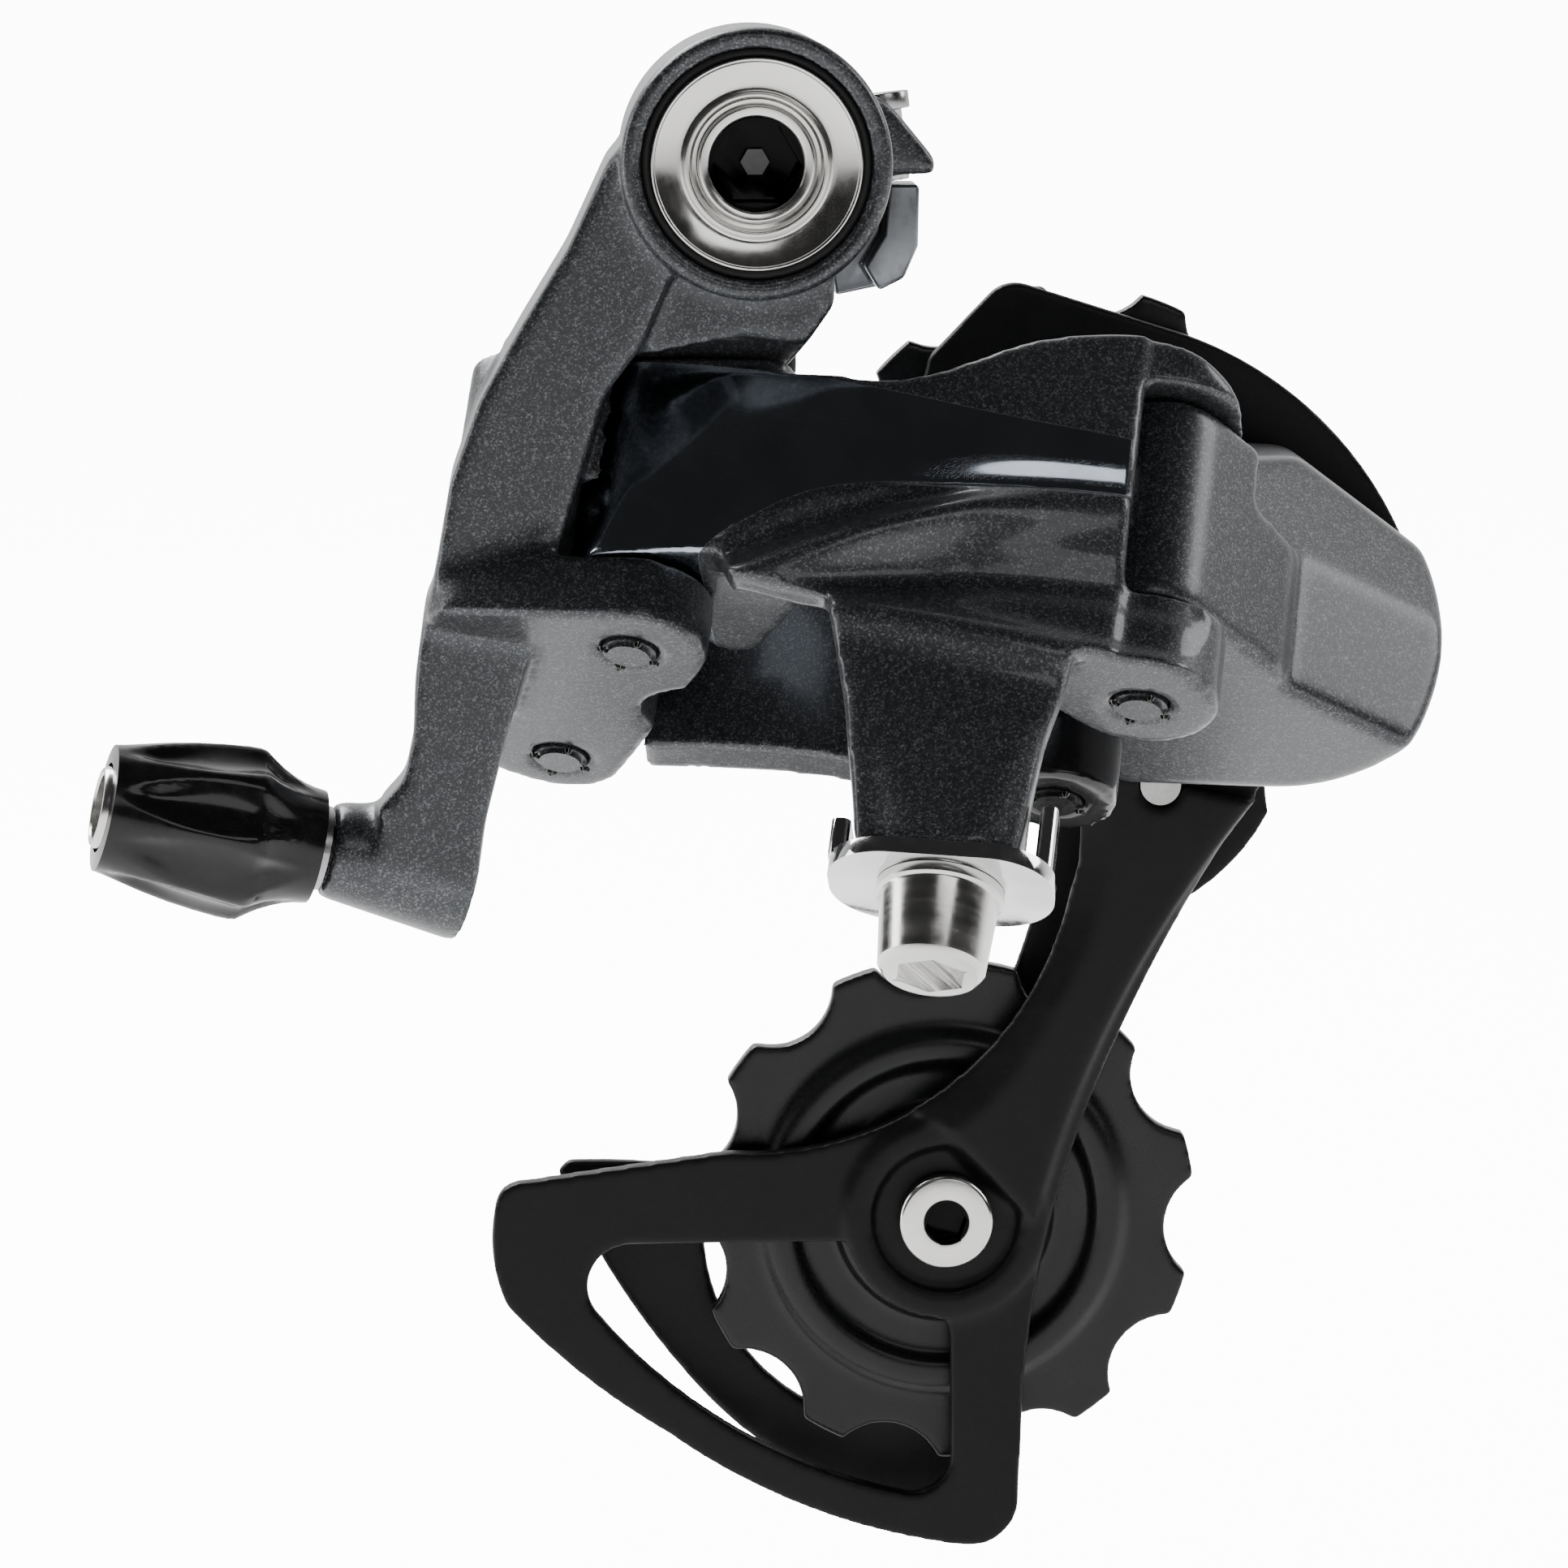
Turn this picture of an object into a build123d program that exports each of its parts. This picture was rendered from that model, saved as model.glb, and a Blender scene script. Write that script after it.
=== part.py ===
from build123d import *
import os
from math import cos, radians, sin

# Rear derailleur of a road bicycle, in millimetres.
# +X runs forward along the bicycle, +Y inboard towards the wheel, +Z up.
# The origin is on the mounting bolt's axis, at the outer face of the hanger that it screws into.

os.makedirs("parts", exist_ok=True)

# ---------------------------------------------------------------- driving dimensions

running_gap = 0.03          # radial clearance of every turning pin or shaft
side_gap = 0.2              # axial clearance beside a turning part

# Mounting bolt and the barrel that turns on it
hanger_thread_r = 5.0
hanger_thread_length = 8.5
bolt_shoulder_r = 6.0
mount_hex = 6.0
barrel_r = 10.6
barrel_front = -26.0
barrel_back = -3.4
barrel_mouth_r = 9.07
stopper_plate_front = -3.0
spring_cavity_front = -20.0
spring_cavity_r = 9.4

# Link pins: they lean inboard by the slant and forward by the tilt
slant = 34.0
tilt = 9.5
pin_r = 2.2
outer_b_pin = Vector(-10.1, -25.0, -38.4)
link_length = 40.6
inner_pin = (-7.6, 19.0)    # the inner link's pin from the outer link's pin, in the link plane
lower_lug_top = 5.5
upper_lug_bottom = 24.1
upper_lug_top = 29.0

# Pivot of the pulley cage
cage_pivot_x, cage_pivot_z = 42.8, -38.0
cage_axle_r = 4.0
p_barrel_r = 13.6
p_barrel_back = 5.5

# Chain pulleys and the two plates that carry them
pulley_teeth = 11
pulley_tip_r = 21.5
pulley_root_r = 18.95
pulley_valley_r = 5.1
pulley_y = 12.0
guide_x, guide_z, guide_phase = 27.3, -33.1, 68.2
tension_x, tension_z, tension_phase = 16.9, -90.2, 12.5
plate_outer_front, plate_outer_back = 7.0, 9.0
plate_inner_front, plate_inner_back = 15.0, 16.6
pulley_bolt_r = 2.5
pulley_bush_r = 3.6

# Cable adjuster
adjuster_start = Vector(-34.3, -19.5, -54.6)
adjuster_dir = Vector(-0.963, -0.17, 0.21).normalized()
adjuster_stem_r = 2.5
housing_seat_r = 2.6
housing_seat_depth = 8.0

# ---------------------------------------------------------------- frames and helpers

pin_dir = Vector(sin(radians(tilt)) * cos(radians(slant)), sin(radians(slant)),
                 cos(radians(tilt)) * cos(radians(slant)))
link_run = Vector(40.0, -6.84, -2.02)
link_dir = (link_run - pin_dir * link_run.dot(pin_dir)).normalized()

# LINK: x along the links at rest, y inboard, z up along the pins, zero at the outer pin's low end
LINK = Plane(origin=outer_b_pin, x_dir=link_dir, z_dir=pin_dir)
outer_p_pin = (link_length, 0.0)
inner_p_pin = (link_length + inner_pin[0], inner_pin[1])


def facing_out(y):
    """Sketch plane at depth y whose x is X and y is Z; an extrusion from it grows outboard."""
    return Plane(origin=(0, y, 0), x_dir=(1, 0, 0), z_dir=(0, -1, 0))


def turned(axis_origin, axis_dir):
    """Sketch plane for a turned part: x is the radius and y runs along the axis."""
    along = Vector(axis_dir).normalized()
    helper = Vector(0, 0, 1) if abs(along.Z) < 0.9 else Vector(1, 0, 0)
    radial = helper.cross(along).normalized()
    return Plane(origin=axis_origin, x_dir=radial, z_dir=radial.cross(along))


def turn(points, axis_origin, axis_dir):
    """Revolve a closed outline of (radius, distance) points about an axis."""
    plane = turned(axis_origin, axis_dir)
    with BuildPart() as piece:
        with BuildSketch(plane):
            with BuildLine():
                Polyline(*points, close=True)
            make_face()
        revolve(axis=Axis(plane.origin, plane.y_dir))
    return piece.part


def coil(mean_r, wire_r, length, turns, axis_origin, axis_dir):
    """Close-wound torsion spring body."""
    with BuildPart() as piece:
        with BuildLine() as path:
            Helix(pitch=length / turns, height=length, radius=mean_r, center=axis_origin,
                  direction=axis_dir)
        with BuildSketch(Plane(origin=path.line @ 0, z_dir=path.line % 0)):
            Circle(wire_r)
        sweep(path=path.line, is_frenet=True)
    return piece.part


def save(part, name):
    part.label = name
    export_step(part, f"parts/{name}.step")


y_axis = (0, 1, 0)
mount_axis = (0, 0, 0)
cage_axis = (cage_pivot_x, 0, cage_pivot_z)


# ---------------------------------------------------------------- mounting bolt group

# Hexagon socket bolt: stepped head, plain shoulder for the barrel, thread for the hanger
with BuildPart() as mounting_bolt:
    add(turn([(0, -25.9), (4.2, -25.9), (4.2, -25.6), (4.75, -25.6), (4.75, -26.1), (5.3, -26.1),
              (5.3, -25.25), (4.6, -25.25), (4.6, -24.3), (bolt_shoulder_r, -24.3),
              (bolt_shoulder_r, 0.0), (hanger_thread_r, 0.0),
              (hanger_thread_r, hanger_thread_length - 0.6),
              (hanger_thread_r - 0.6, hanger_thread_length), (0, hanger_thread_length)],
             mount_axis, y_axis))
    with BuildSketch(facing_out(-25.9)):
        RegularPolygon(mount_hex / 2, 6, major_radius=False, rotation=0)
    extrude(amount=-6.0, mode=Mode.SUBTRACT)
    with BuildSketch(facing_out(-19.9)):
        RegularPolygon(1.1, 6)
    extrude(amount=-1.0, mode=Mode.SUBTRACT)
save(mounting_bolt.part, "mounting_bolt")

# Dished steel washer under the head
mount_washer = turn([(4.65, -24.35), (8.3, -24.35), (8.3, -25.75), (8.05, -25.9), (7.8, -25.75),
                     (6.6, -25.25), (4.65, -25.25)], mount_axis, y_axis)
save(mount_washer, "mount_washer")

# Rubber ring between washer and barrel
mount_seal = turn([(8.38, -24.2), (8.98, -24.2), (8.98, -25.4), (8.38, -25.4)], mount_axis, y_axis)
save(mount_seal, "mount_seal")

# Stopper plate: a disc against the hanger with an ear bent outboard
with BuildPart() as stopper_plate:
    with BuildSketch(facing_out(0.0)):
        Circle(10.4)
        with BuildLine():
            Polyline((6.6, -8.0), (7.1, -11.6), (10.4, -10.9), (12.4, -9.9), (13.55, -7.3),
                     (13.65, -2.4), (9.6, -2.4), close=True)
        make_face()
        Circle(bolt_shoulder_r + running_gap, mode=Mode.SUBTRACT)
    extrude(amount=-stopper_plate_front)
    with BuildSketch(facing_out(stopper_plate_front)):
        with BuildLine():
            Polyline((11.2, -2.4), (13.65, -2.4), (13.55, -7.3), (12.4, -9.9), (10.4, -10.9),
                     (9.2, -9.0), (10.8, -6.4), close=True)
        make_face()
    extrude(amount=5.5)
save(stopper_plate.part, "stopper_plate")

# Retaining ring that holds the bolt in the barrel, in front of the stopper plate
retaining_ring = turn([(6.05, -3.35), (8.0, -3.35), (8.0, -4.0), (6.05, -4.0)], mount_axis, y_axis)
save(retaining_ring, "retaining_ring")

b_spring = coil(8.25, 0.75, 13.0, 6.5, (0, -18.6, 0), y_axis)
save(b_spring, "b_spring")

# Bronze bush pressed into the barrel's front wall
b_bush_r = 6.95
b_bush = turn([(bolt_shoulder_r + running_gap, -24.1), (b_bush_r, -24.1), (b_bush_r, -12.0),
               (bolt_shoulder_r + running_gap, -12.0)], mount_axis, y_axis)
save(b_bush, "b_bush")

# ---------------------------------------------------------------- upper knuckle

arm_front = -24.6
arm_back = -7.0
boss_length = 11.7
boss_tip_r = 3.85
boss_root_r = 5.5
boss_dir = adjuster_dir * -1
limit_screw_r = 1.5
limit_screw_spot = (-16.2, 7.5)
limit_screw_heights = (8.6, 15.4)
angle_screw_top = (10.9, -6.6, 5.0)
angle_screw_dir = Vector(0.12, 0.0, -1.0).normalized()
angle_screw_r = 1.2


def knuckle_plan():
    """Outline of the upper knuckle across the link pins."""
    Circle(6.2)
    with Locations(inner_pin):
        Circle(5.2)
    with Locations((-13.2, -3.0), (-13.2, 8.0)):
        Circle(2.2)
    with Locations((-11.6, 20.4)):
        Circle(2.2)
    make_hull()


with BuildPart() as b_knuckle:
    # Barrel around the mounting bolt
    with BuildSketch(facing_out(barrel_back)):
        Circle(barrel_r)
    extrude(amount=barrel_back - barrel_front)
    chamfer(b_knuckle.faces().sort_by(Axis.Y)[0].edges(), 0.35)
    # Front arm down to the lower lug and on to the cable boss
    with BuildSketch(facing_out(arm_back)):
        with BuildLine():
            Polyline((-10.5, 1.6), (-11.6, 0.4), (-14.73, -6.42), (-18.6, -12.82), (-21.84, -18.59),
                     (-24.12, -25.02), (-25.12, -30.82), (-26.12, -35.99), (-14.8, -34.5),
                     (-15.81, -31.42), (-13.86, -24.7), (-11.9, -18.2), (-9.05, -14.49),
                     (-6.3, -8.0), close=True)
        make_face()
    extrude(amount=arm_back - arm_front)
    with BuildSketch(facing_out(-14.5)):
        with BuildLine():
            Polyline((-26.1, -34.0), (-26.99, -40.53), (-27.15, -45.08), (-27.9, -48.6),
                     (-30.0, -50.9), (-29.5, -56.0), (-22.4, -57.79), (-21.4, -51.89),
                     (-19.74, -45.36), (-16.6, -34.0), close=True)
        make_face()
    extrude(amount=9.0)
    # Boss that the cable adjuster screws into
    add(turn([(0, 0), (boss_tip_r, 0), (boss_root_r, boss_length), (0, boss_length)],
             adjuster_start, boss_dir))
    # Lower lug, spine and upper lugs, all along the link pins
    with BuildSketch(LINK):
        knuckle_plan()
    extrude(amount=23.6)
    with BuildSketch(LINK.offset(upper_lug_bottom - 4)):
        Circle(6.2)
        with Locations((-9.5, 3.0)):
            Circle(5.0)
        with Locations((5.5, 1.0)):
            Circle(4.5)
        make_hull()
    extrude(amount=upper_lug_top - upper_lug_bottom + 4)
    # The spine stays behind the arm's outline
    with BuildSketch(facing_out(30)):
        with BuildLine():
            Polyline((-60, 12), (-11.4, 12), (-13.2, -6.42), (-17.0, -14.4), (-20.4, -20.8),
                     (-22.6, -27.4), (-23.6, -33.0), (-24.6, -38.0), (-60, -38.0), close=True)
        make_face()
    extrude(amount=30 + arm_back, mode=Mode.SUBTRACT)
    # Web under the barrel
    with BuildSketch(facing_out(-9.6)):
        with BuildLine():
            Polyline((-10.0, -4.0), (6.2, -7.0), (6.4, -11.2), (2.6, -16.6), (-9.6, -17.0),
                     close=True)
        make_face()
    extrude(amount=11.0)
    # Wedge lug that carries the angle screw over the stopper plate's ear
    with BuildSketch(facing_out(-3.4)):
        with BuildLine():
            Polyline((9.0, 5.2), (10.9, 4.6), (14.9, -0.3), (14.8, -1.5), (11.9, -1.5), (9.4, -2.4),
                     close=True)
        make_face()
    extrude(amount=6.6)
    # Notch between the two lower lugs
    with BuildSketch(LINK):
        with Locations((4.6, 10.6)):
            Circle(4.6)
    extrude(amount=lower_lug_top, mode=Mode.SUBTRACT)
    # Room for the outer link's end
    with BuildSketch(LINK.offset(lower_lug_top)):
        with BuildLine():
            Polyline((-3.0, -9.4), (60, -9.4), (60, 9.0), (3.0, 9.0), close=True)
        make_face()
        Circle(6.6)
        with Locations((-0.5, 4.5)):
            Circle(4.0)
    extrude(amount=upper_lug_bottom - lower_lug_top, mode=Mode.SUBTRACT)
    # Room for the inner link's end
    with BuildSketch(LINK.offset(lower_lug_top)):
        with Locations(inner_pin):
            Circle(5.5)
        with Locations((40, 10), (40, 60), (-7.6, 60)):
            Circle(5.5)
        make_hull()
    extrude(amount=13.9, mode=Mode.SUBTRACT)
    # Stop lugs of the outer link pass here
    with BuildSketch(LINK.offset(lower_lug_top)):
        Circle(12.6)
        with BuildLine():
            Polyline((-20, -20), (-6.6, -20), (-6.6, 20), (-20, 20), close=True)
        make_face(mode=Mode.SUBTRACT)
    extrude(amount=6.5, mode=Mode.SUBTRACT)
    # Bores: mount, pins, adjuster
    add(turn([(0, -27), (barrel_mouth_r, -27), (barrel_mouth_r, -24.15), (b_bush_r, -24.15),
              (b_bush_r, spring_cavity_front), (spring_cavity_r, spring_cavity_front),
              (spring_cavity_r, 10), (0, 10)], mount_axis, y_axis), mode=Mode.SUBTRACT)
    with BuildSketch(LINK.offset(-1)):
        Circle(pin_r)
        with Locations(inner_pin):
            Circle(pin_r)
    extrude(amount=40, mode=Mode.SUBTRACT)
    add(turn([(0, -1), (adjuster_stem_r + running_gap, -1),
              (adjuster_stem_r + running_gap, boss_length - 3.0), (1.3, boss_length - 3.0),
              (1.3, boss_length + 6), (0, boss_length + 6)], adjuster_start, boss_dir),
        mode=Mode.SUBTRACT)
    # Threaded holes of the limit screws and the angle screw, with room for their heads
    for height in limit_screw_heights:
        start = LINK.from_local_coords(Vector(*limit_screw_spot, height))
        add(turn([(0, -5), (2.5, -5), (2.5, 1.6), (limit_screw_r, 1.6), (limit_screw_r, 11),
                  (0, 11)], start, link_dir), mode=Mode.SUBTRACT)
    add(turn([(0, -4), (2.2, -4), (2.2, 1.4), (angle_screw_r, 1.4), (angle_screw_r, 12), (0, 12)],
             angle_screw_top, angle_screw_dir), mode=Mode.SUBTRACT)
save(b_knuckle.part, "b_knuckle")

# Link pins, staked over at their low ends
staked_t = 0.35
staked_r = pin_r - 0.5


def staked_pin(low, high):
    """Link pin from its staked low end to its plain high end, along the pins' direction."""
    with BuildPart() as piece:
        with BuildSketch(LINK.offset(low)):
            Circle(pin_r - running_gap)
        extrude(amount=high - low)
        chamfer(piece.faces().sort_by(Axis(LINK.origin, LINK.z_dir))[-1].edges(), 0.4)
        with BuildSketch(LINK.offset(low - staked_t)):
            Circle(staked_r)
        extrude(amount=staked_t)
    return piece.part


def placed(part, spot):
    """The part moved to a spot of the link plane."""
    return part.moved(Location(LINK.from_local_coords(Vector(*spot, 0)) - LINK.origin))


save(staked_pin(0.0, upper_lug_top), "link_pin_b_outer")
save(placed(staked_pin(0.0, 23.6), inner_pin), "link_pin_b_inner")

# ---------------------------------------------------------------- adjusting screws

with BuildPart() as limit_screws:
    for height in limit_screw_heights:
        start = LINK.from_local_coords(Vector(*limit_screw_spot, height))
        add(turn([(0, 0), (2.3, 0), (2.3, 1.6), (limit_screw_r, 1.6), (limit_screw_r, 9.2),
                  (limit_screw_r - 0.5, 9.7), (0, 9.7)], start, link_dir))
save(limit_screws.part, "limit_screws")

# Angle screw: threaded down through the wedge lug on to the stopper plate's ear
angle_screw = turn([(0, 0), (1.9, 0), (1.9, 1.4), (angle_screw_r, 1.4), (angle_screw_r, 7.1),
                    (0, 7.1)], angle_screw_top, angle_screw_dir)
save(angle_screw, "angle_screw")

# ---------------------------------------------------------------- cable adjuster

knob_gap = 0.8
knob_length = 17.3
knob_neck_r, knob_wide_r, knob_end_r = 4.6, 6.95, 5.2
knob_bore_r = 3.6
knob_flutes = 8
out = adjuster_dir


def along_adjuster(distance):
    return adjuster_start + out * distance


# Threaded stem with the seat for the cable housing in its outer end
adjuster_stem = turn([(0.9, -8.0), (adjuster_stem_r, -8.0), (adjuster_stem_r, 9.6), (3.3, 9.6),
                      (3.3, 18.6), (housing_seat_r, 18.6), (housing_seat_r, 18.6 - housing_seat_depth),
                      (0.9, 18.6 - housing_seat_depth)], adjuster_start, out)
save(adjuster_stem, "adjuster_stem")

with BuildPart() as adjuster_knob:
    knob_plane = turned(adjuster_start, out)
    with BuildSketch(knob_plane):
        with BuildLine():
            Polyline((knob_neck_r, knob_gap), (knob_bore_r, knob_gap),
                     (knob_bore_r, knob_gap + knob_length), (knob_end_r, knob_gap + knob_length))
            ThreePointArc((knob_end_r, knob_gap + knob_length), (6.35, 11.5), (knob_wide_r, 6.6))
            ThreePointArc((knob_wide_r, 6.6), (5.35, 3.6), (knob_neck_r, knob_gap))
        make_face()
    revolve(axis=Axis(knob_plane.origin, knob_plane.y_dir))
    for step in range(knob_flutes):
        angle = step * 360 / knob_flutes
        flute = turn([(0, -9.5), (1.4, -7.5), (2.1, 0), (1.4, 7.5), (0, 9.5)],
                     adjuster_start + out * 10.2 + knob_plane.x_dir * 7.9, out)
        add(flute.rotate(Axis(knob_plane.origin, knob_plane.y_dir), angle), mode=Mode.SUBTRACT)
save(adjuster_knob.part, "adjuster_knob")

adjuster_click_ring = turn([(2.6, 0.1), (3.4, 0.1), (3.4, 0.65), (2.6, 0.65)], adjuster_start, out)
save(adjuster_click_ring, "adjuster_click_ring")

# ---------------------------------------------------------------- outer link

p_lug_top = 5.4
p_upper_lug_bottom = 23.9
anchor_spot = (27.3, -4.4)
tab_end = -19.6

with BuildPart() as outer_link:
    # Curved wall between the pins, in plan
    with BuildSketch(LINK.offset(-20)):
        with BuildLine():
            ThreePointArc((-2.6, -5.2), (19.0, -8.7), (38.9, -7.2))
            Line((38.9, -7.2), (38.9, -5.1))
            ThreePointArc((38.9, -5.1), (19.0, -5.6), (-2.6, -2.4))
            Line((-2.6, -2.4), (-2.6, -5.2))
        make_face()
    extrude(amount=50)
    # ... trimmed to its face outline
    with BuildSketch(Plane(origin=LINK.origin, x_dir=LINK.x_dir, z_dir=LINK.y_dir * -1)):
        with BuildLine():
            Polyline((-6.0, 5.8), (7.0, 5.8), (8.4, 2.4), (16.3, 1.2), (18.5, -7.1), (20.1, -15.5),
                     (20.8, tab_end), (33.2, tab_end), (33.6, -16.0), (34.3, -9.5), (36.0, -1.8),
                     (50, -1.8), (50, 29.0), (36, 27.6), (29.9, 26.0), (23.8, 22.9), (16.1, 21.7),
                     (9.9, 22.1), (4.0, 23.0), (-6.0, 23.7), close=True)
        make_face()
    extrude(amount=20, both=True, mode=Mode.INTERSECT)
    # Sleeve around the pin at the knuckle end
    with BuildSketch(LINK.offset(lower_lug_top + side_gap)):
        Circle(5.8)
        with Locations((9.0, -4.9)):
            Circle(2.0)
        make_hull()
    extrude(amount=18.15)
    # Stop lobe for the limit screws
    with BuildSketch(LINK.offset(lower_lug_top + side_gap)):
        Circle(5.6)
        with Locations((7.0, 7.0)):
            Circle(2.6)
        with Locations((13.5, -4.5)):
            Circle(2.0)
        make_hull()
    extrude(amount=5.2)
    # Lower and upper lugs at the cage end
    with BuildSketch(LINK.offset(-1.8)):
        with Locations(outer_p_pin):
            Circle(6.2)
        with Locations((30.0, -5.8), (33.0, -2.0)):
            Circle(1.8)
        make_hull()
    extrude(amount=p_lug_top + 1.8)
    with BuildSketch(LINK.offset(p_upper_lug_bottom)):
        with Locations(outer_p_pin):
            Circle(6.4)
        with Locations((26.0, -6.4), (31.0, -2.0)):
            Circle(1.6)
        make_hull()
    extrude(amount=upper_lug_top - p_upper_lug_bottom)
    # The upper lug's top swells and falls away towards the cage
    with BuildSketch(Plane(origin=LINK.origin, x_dir=LINK.x_dir, z_dir=LINK.y_dir * -1)):
        with BuildLine():
            Spline((15.0, 21.8), (23.8, 22.9), (29.9, 26.1), (35.6, 27.5), (40.8, 27.6),
                   (44.2, 26.4), (46.9, 23.4))
            Polyline((46.9, 23.4), (60.0, 23.4), (60.0, 40.0), (15.0, 40.0), (15.0, 21.8))
        make_face()
    extrude(amount=20, both=True, mode=Mode.SUBTRACT)
    # Boss for the cable anchor at the tab's end
    with BuildSketch(LINK.offset(tab_end)):
        with Locations(anchor_spot):
            RectangleRounded(12.2, 10.4, 4.4)
    with BuildSketch(LINK.offset(-8.5)):
        with Locations((26.6, -6.9)):
            RectangleRounded(14.6, 3.4, 1.4)
    loft()
    # Bores: both pins and the anchor bolt's thread
    with BuildSketch(LINK.offset(-2)):
        Circle(pin_r)
        with Locations(outer_p_pin):
            Circle(pin_r)
    extrude(amount=34, mode=Mode.SUBTRACT)
    with BuildSketch(LINK.offset(tab_end)):
        with Locations(anchor_spot):
            Circle(2.5)
    extrude(amount=9.0, mode=Mode.SUBTRACT)
save(outer_link.part, "outer_link")

save(placed(staked_pin(-1.8, upper_lug_top - 2.0), outer_p_pin), "link_pin_p_outer")

# Cable anchor: plate with turned-up ears, and the tapered bolt
anchor_plate_t = 1.3
anchor_origin = LINK.from_local_coords(Vector(*anchor_spot, tab_end))
with BuildPart() as anchor_plate:
    with BuildSketch(LINK.offset(tab_end - 0.1)):
        with Locations(anchor_spot):
            RectangleRounded(17.4, 11.6, 5.0)
    extrude(amount=-anchor_plate_t)
    with BuildSketch(LINK.offset(tab_end - 0.4)):
        with Locations((anchor_spot[0] - 7.9, anchor_spot[1] - 0.6)):
            RectangleRounded(1.5, 5.0, 0.6)
    extrude(amount=3.0)
    with BuildSketch(LINK.offset(tab_end - 0.4)):
        with Locations((anchor_spot[0] + 7.8, anchor_spot[1] - 0.6)):
            RectangleRounded(1.4, 3.2, 0.6)
    extrude(amount=5.6)
    with BuildSketch(LINK.offset(tab_end)):
        with Locations(anchor_spot):
            Circle(2.6)
    extrude(amount=-5, mode=Mode.SUBTRACT)
save(anchor_plate.part, "anchor_plate")

anchor_head = -(0.1 + anchor_plate_t)
with BuildPart() as anchor_bolt:
    add(turn([(0, 8.5), (2.46, 8.5), (2.46, anchor_head), (4.9, anchor_head),
              (4.9, anchor_head - 0.9), (4.6, anchor_head - 1.1), (4.1, anchor_head - 7.0),
              (3.7, anchor_head - 7.4), (0, anchor_head - 7.4)], anchor_origin, pin_dir))
    with BuildSketch(Plane(origin=anchor_origin + pin_dir * (anchor_head - 7.4),
                           x_dir=link_dir, z_dir=pin_dir)):
        RegularPolygon(2.5, 6, major_radius=False, rotation=12)
    extrude(amount=4.2, mode=Mode.SUBTRACT)
save(anchor_bolt.part, "anchor_bolt")

# ---------------------------------------------------------------- inner link

inner_ear_top, inner_ear_bottom = 5.3, -0.9
inner_upper_ear = (17.2, 21.3)
with BuildPart() as inner_link:
    with BuildSketch(LINK.offset(-5)):
        with BuildLine():
            ThreePointArc((-6.0, 18.6), (12.0, 15.6), (27.4, 17.4))
            Line((27.4, 17.4), (27.4, 22.0))
            ThreePointArc((27.4, 22.0), (12.0, 20.0), (-6.0, 22.8))
            Line((-6.0, 22.8), (-6.0, 18.6))
        make_face()
    extrude(amount=40)
    with BuildSketch(Plane(origin=LINK.origin, x_dir=LINK.x_dir, z_dir=LINK.y_dir * -1)):
        with BuildLine():
            Polyline((-0.8, 0.9), (14, 0.4), (24.0, inner_ear_bottom), (40, inner_ear_bottom),
                     (40, inner_upper_ear[1]), (24, inner_upper_ear[1]), (14, 19.0), (-0.8, 19.0),
                     close=True)
        make_face()
    extrude(amount=40, both=True, mode=Mode.INTERSECT)
    # Ears on the knuckle's inner pin, above and below the return spring
    for low, high in ((lower_lug_top + side_gap, 8.4), (16.4, 19.1)):
        with BuildSketch(LINK.offset(low)):
            with Locations(inner_pin):
                Circle(5.0)
            with Locations((0.0, 18.4), (0.0, 20.6)):
                Circle(1.4)
            make_hull()
        extrude(amount=high - low)
    # Forked ears at the cage end
    for low, high in ((inner_ear_bottom, inner_ear_top), inner_upper_ear):
        with BuildSketch(LINK.offset(low)):
            with Locations(inner_p_pin):
                Circle(4.9)
            with Locations((24.5, 18.6), (24.5, 20.4)):
                Circle(1.3)
            make_hull()
        extrude(amount=high - low)
    with BuildSketch(LINK.offset(-2)):
        with Locations(inner_pin, inner_p_pin):
            Circle(pin_r)
    extrude(amount=34, mode=Mode.SUBTRACT)
save(inner_link.part, "inner_link")

save(placed(staked_pin(inner_ear_bottom, inner_upper_ear[1]), inner_p_pin), "link_pin_p_inner")

return_spring = coil(3.6, 0.55, 6.4, 5.5,
                     LINK.from_local_coords(Vector(*inner_pin, 9.2)), pin_dir)
save(return_spring, "return_spring")

# ---------------------------------------------------------------- lower knuckle

p_lug_low, p_lug_high = 5.7, 23.6
p_inner_lug_high = 16.9
ridge_height = 17.8
front_wall = ((44.6, 3.8), (62.5, 19.1))
upper_lean = 16.0
axle_bore_front = -13.6
p_cavity_front = -9.0
p_seal_front = 3.8

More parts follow.
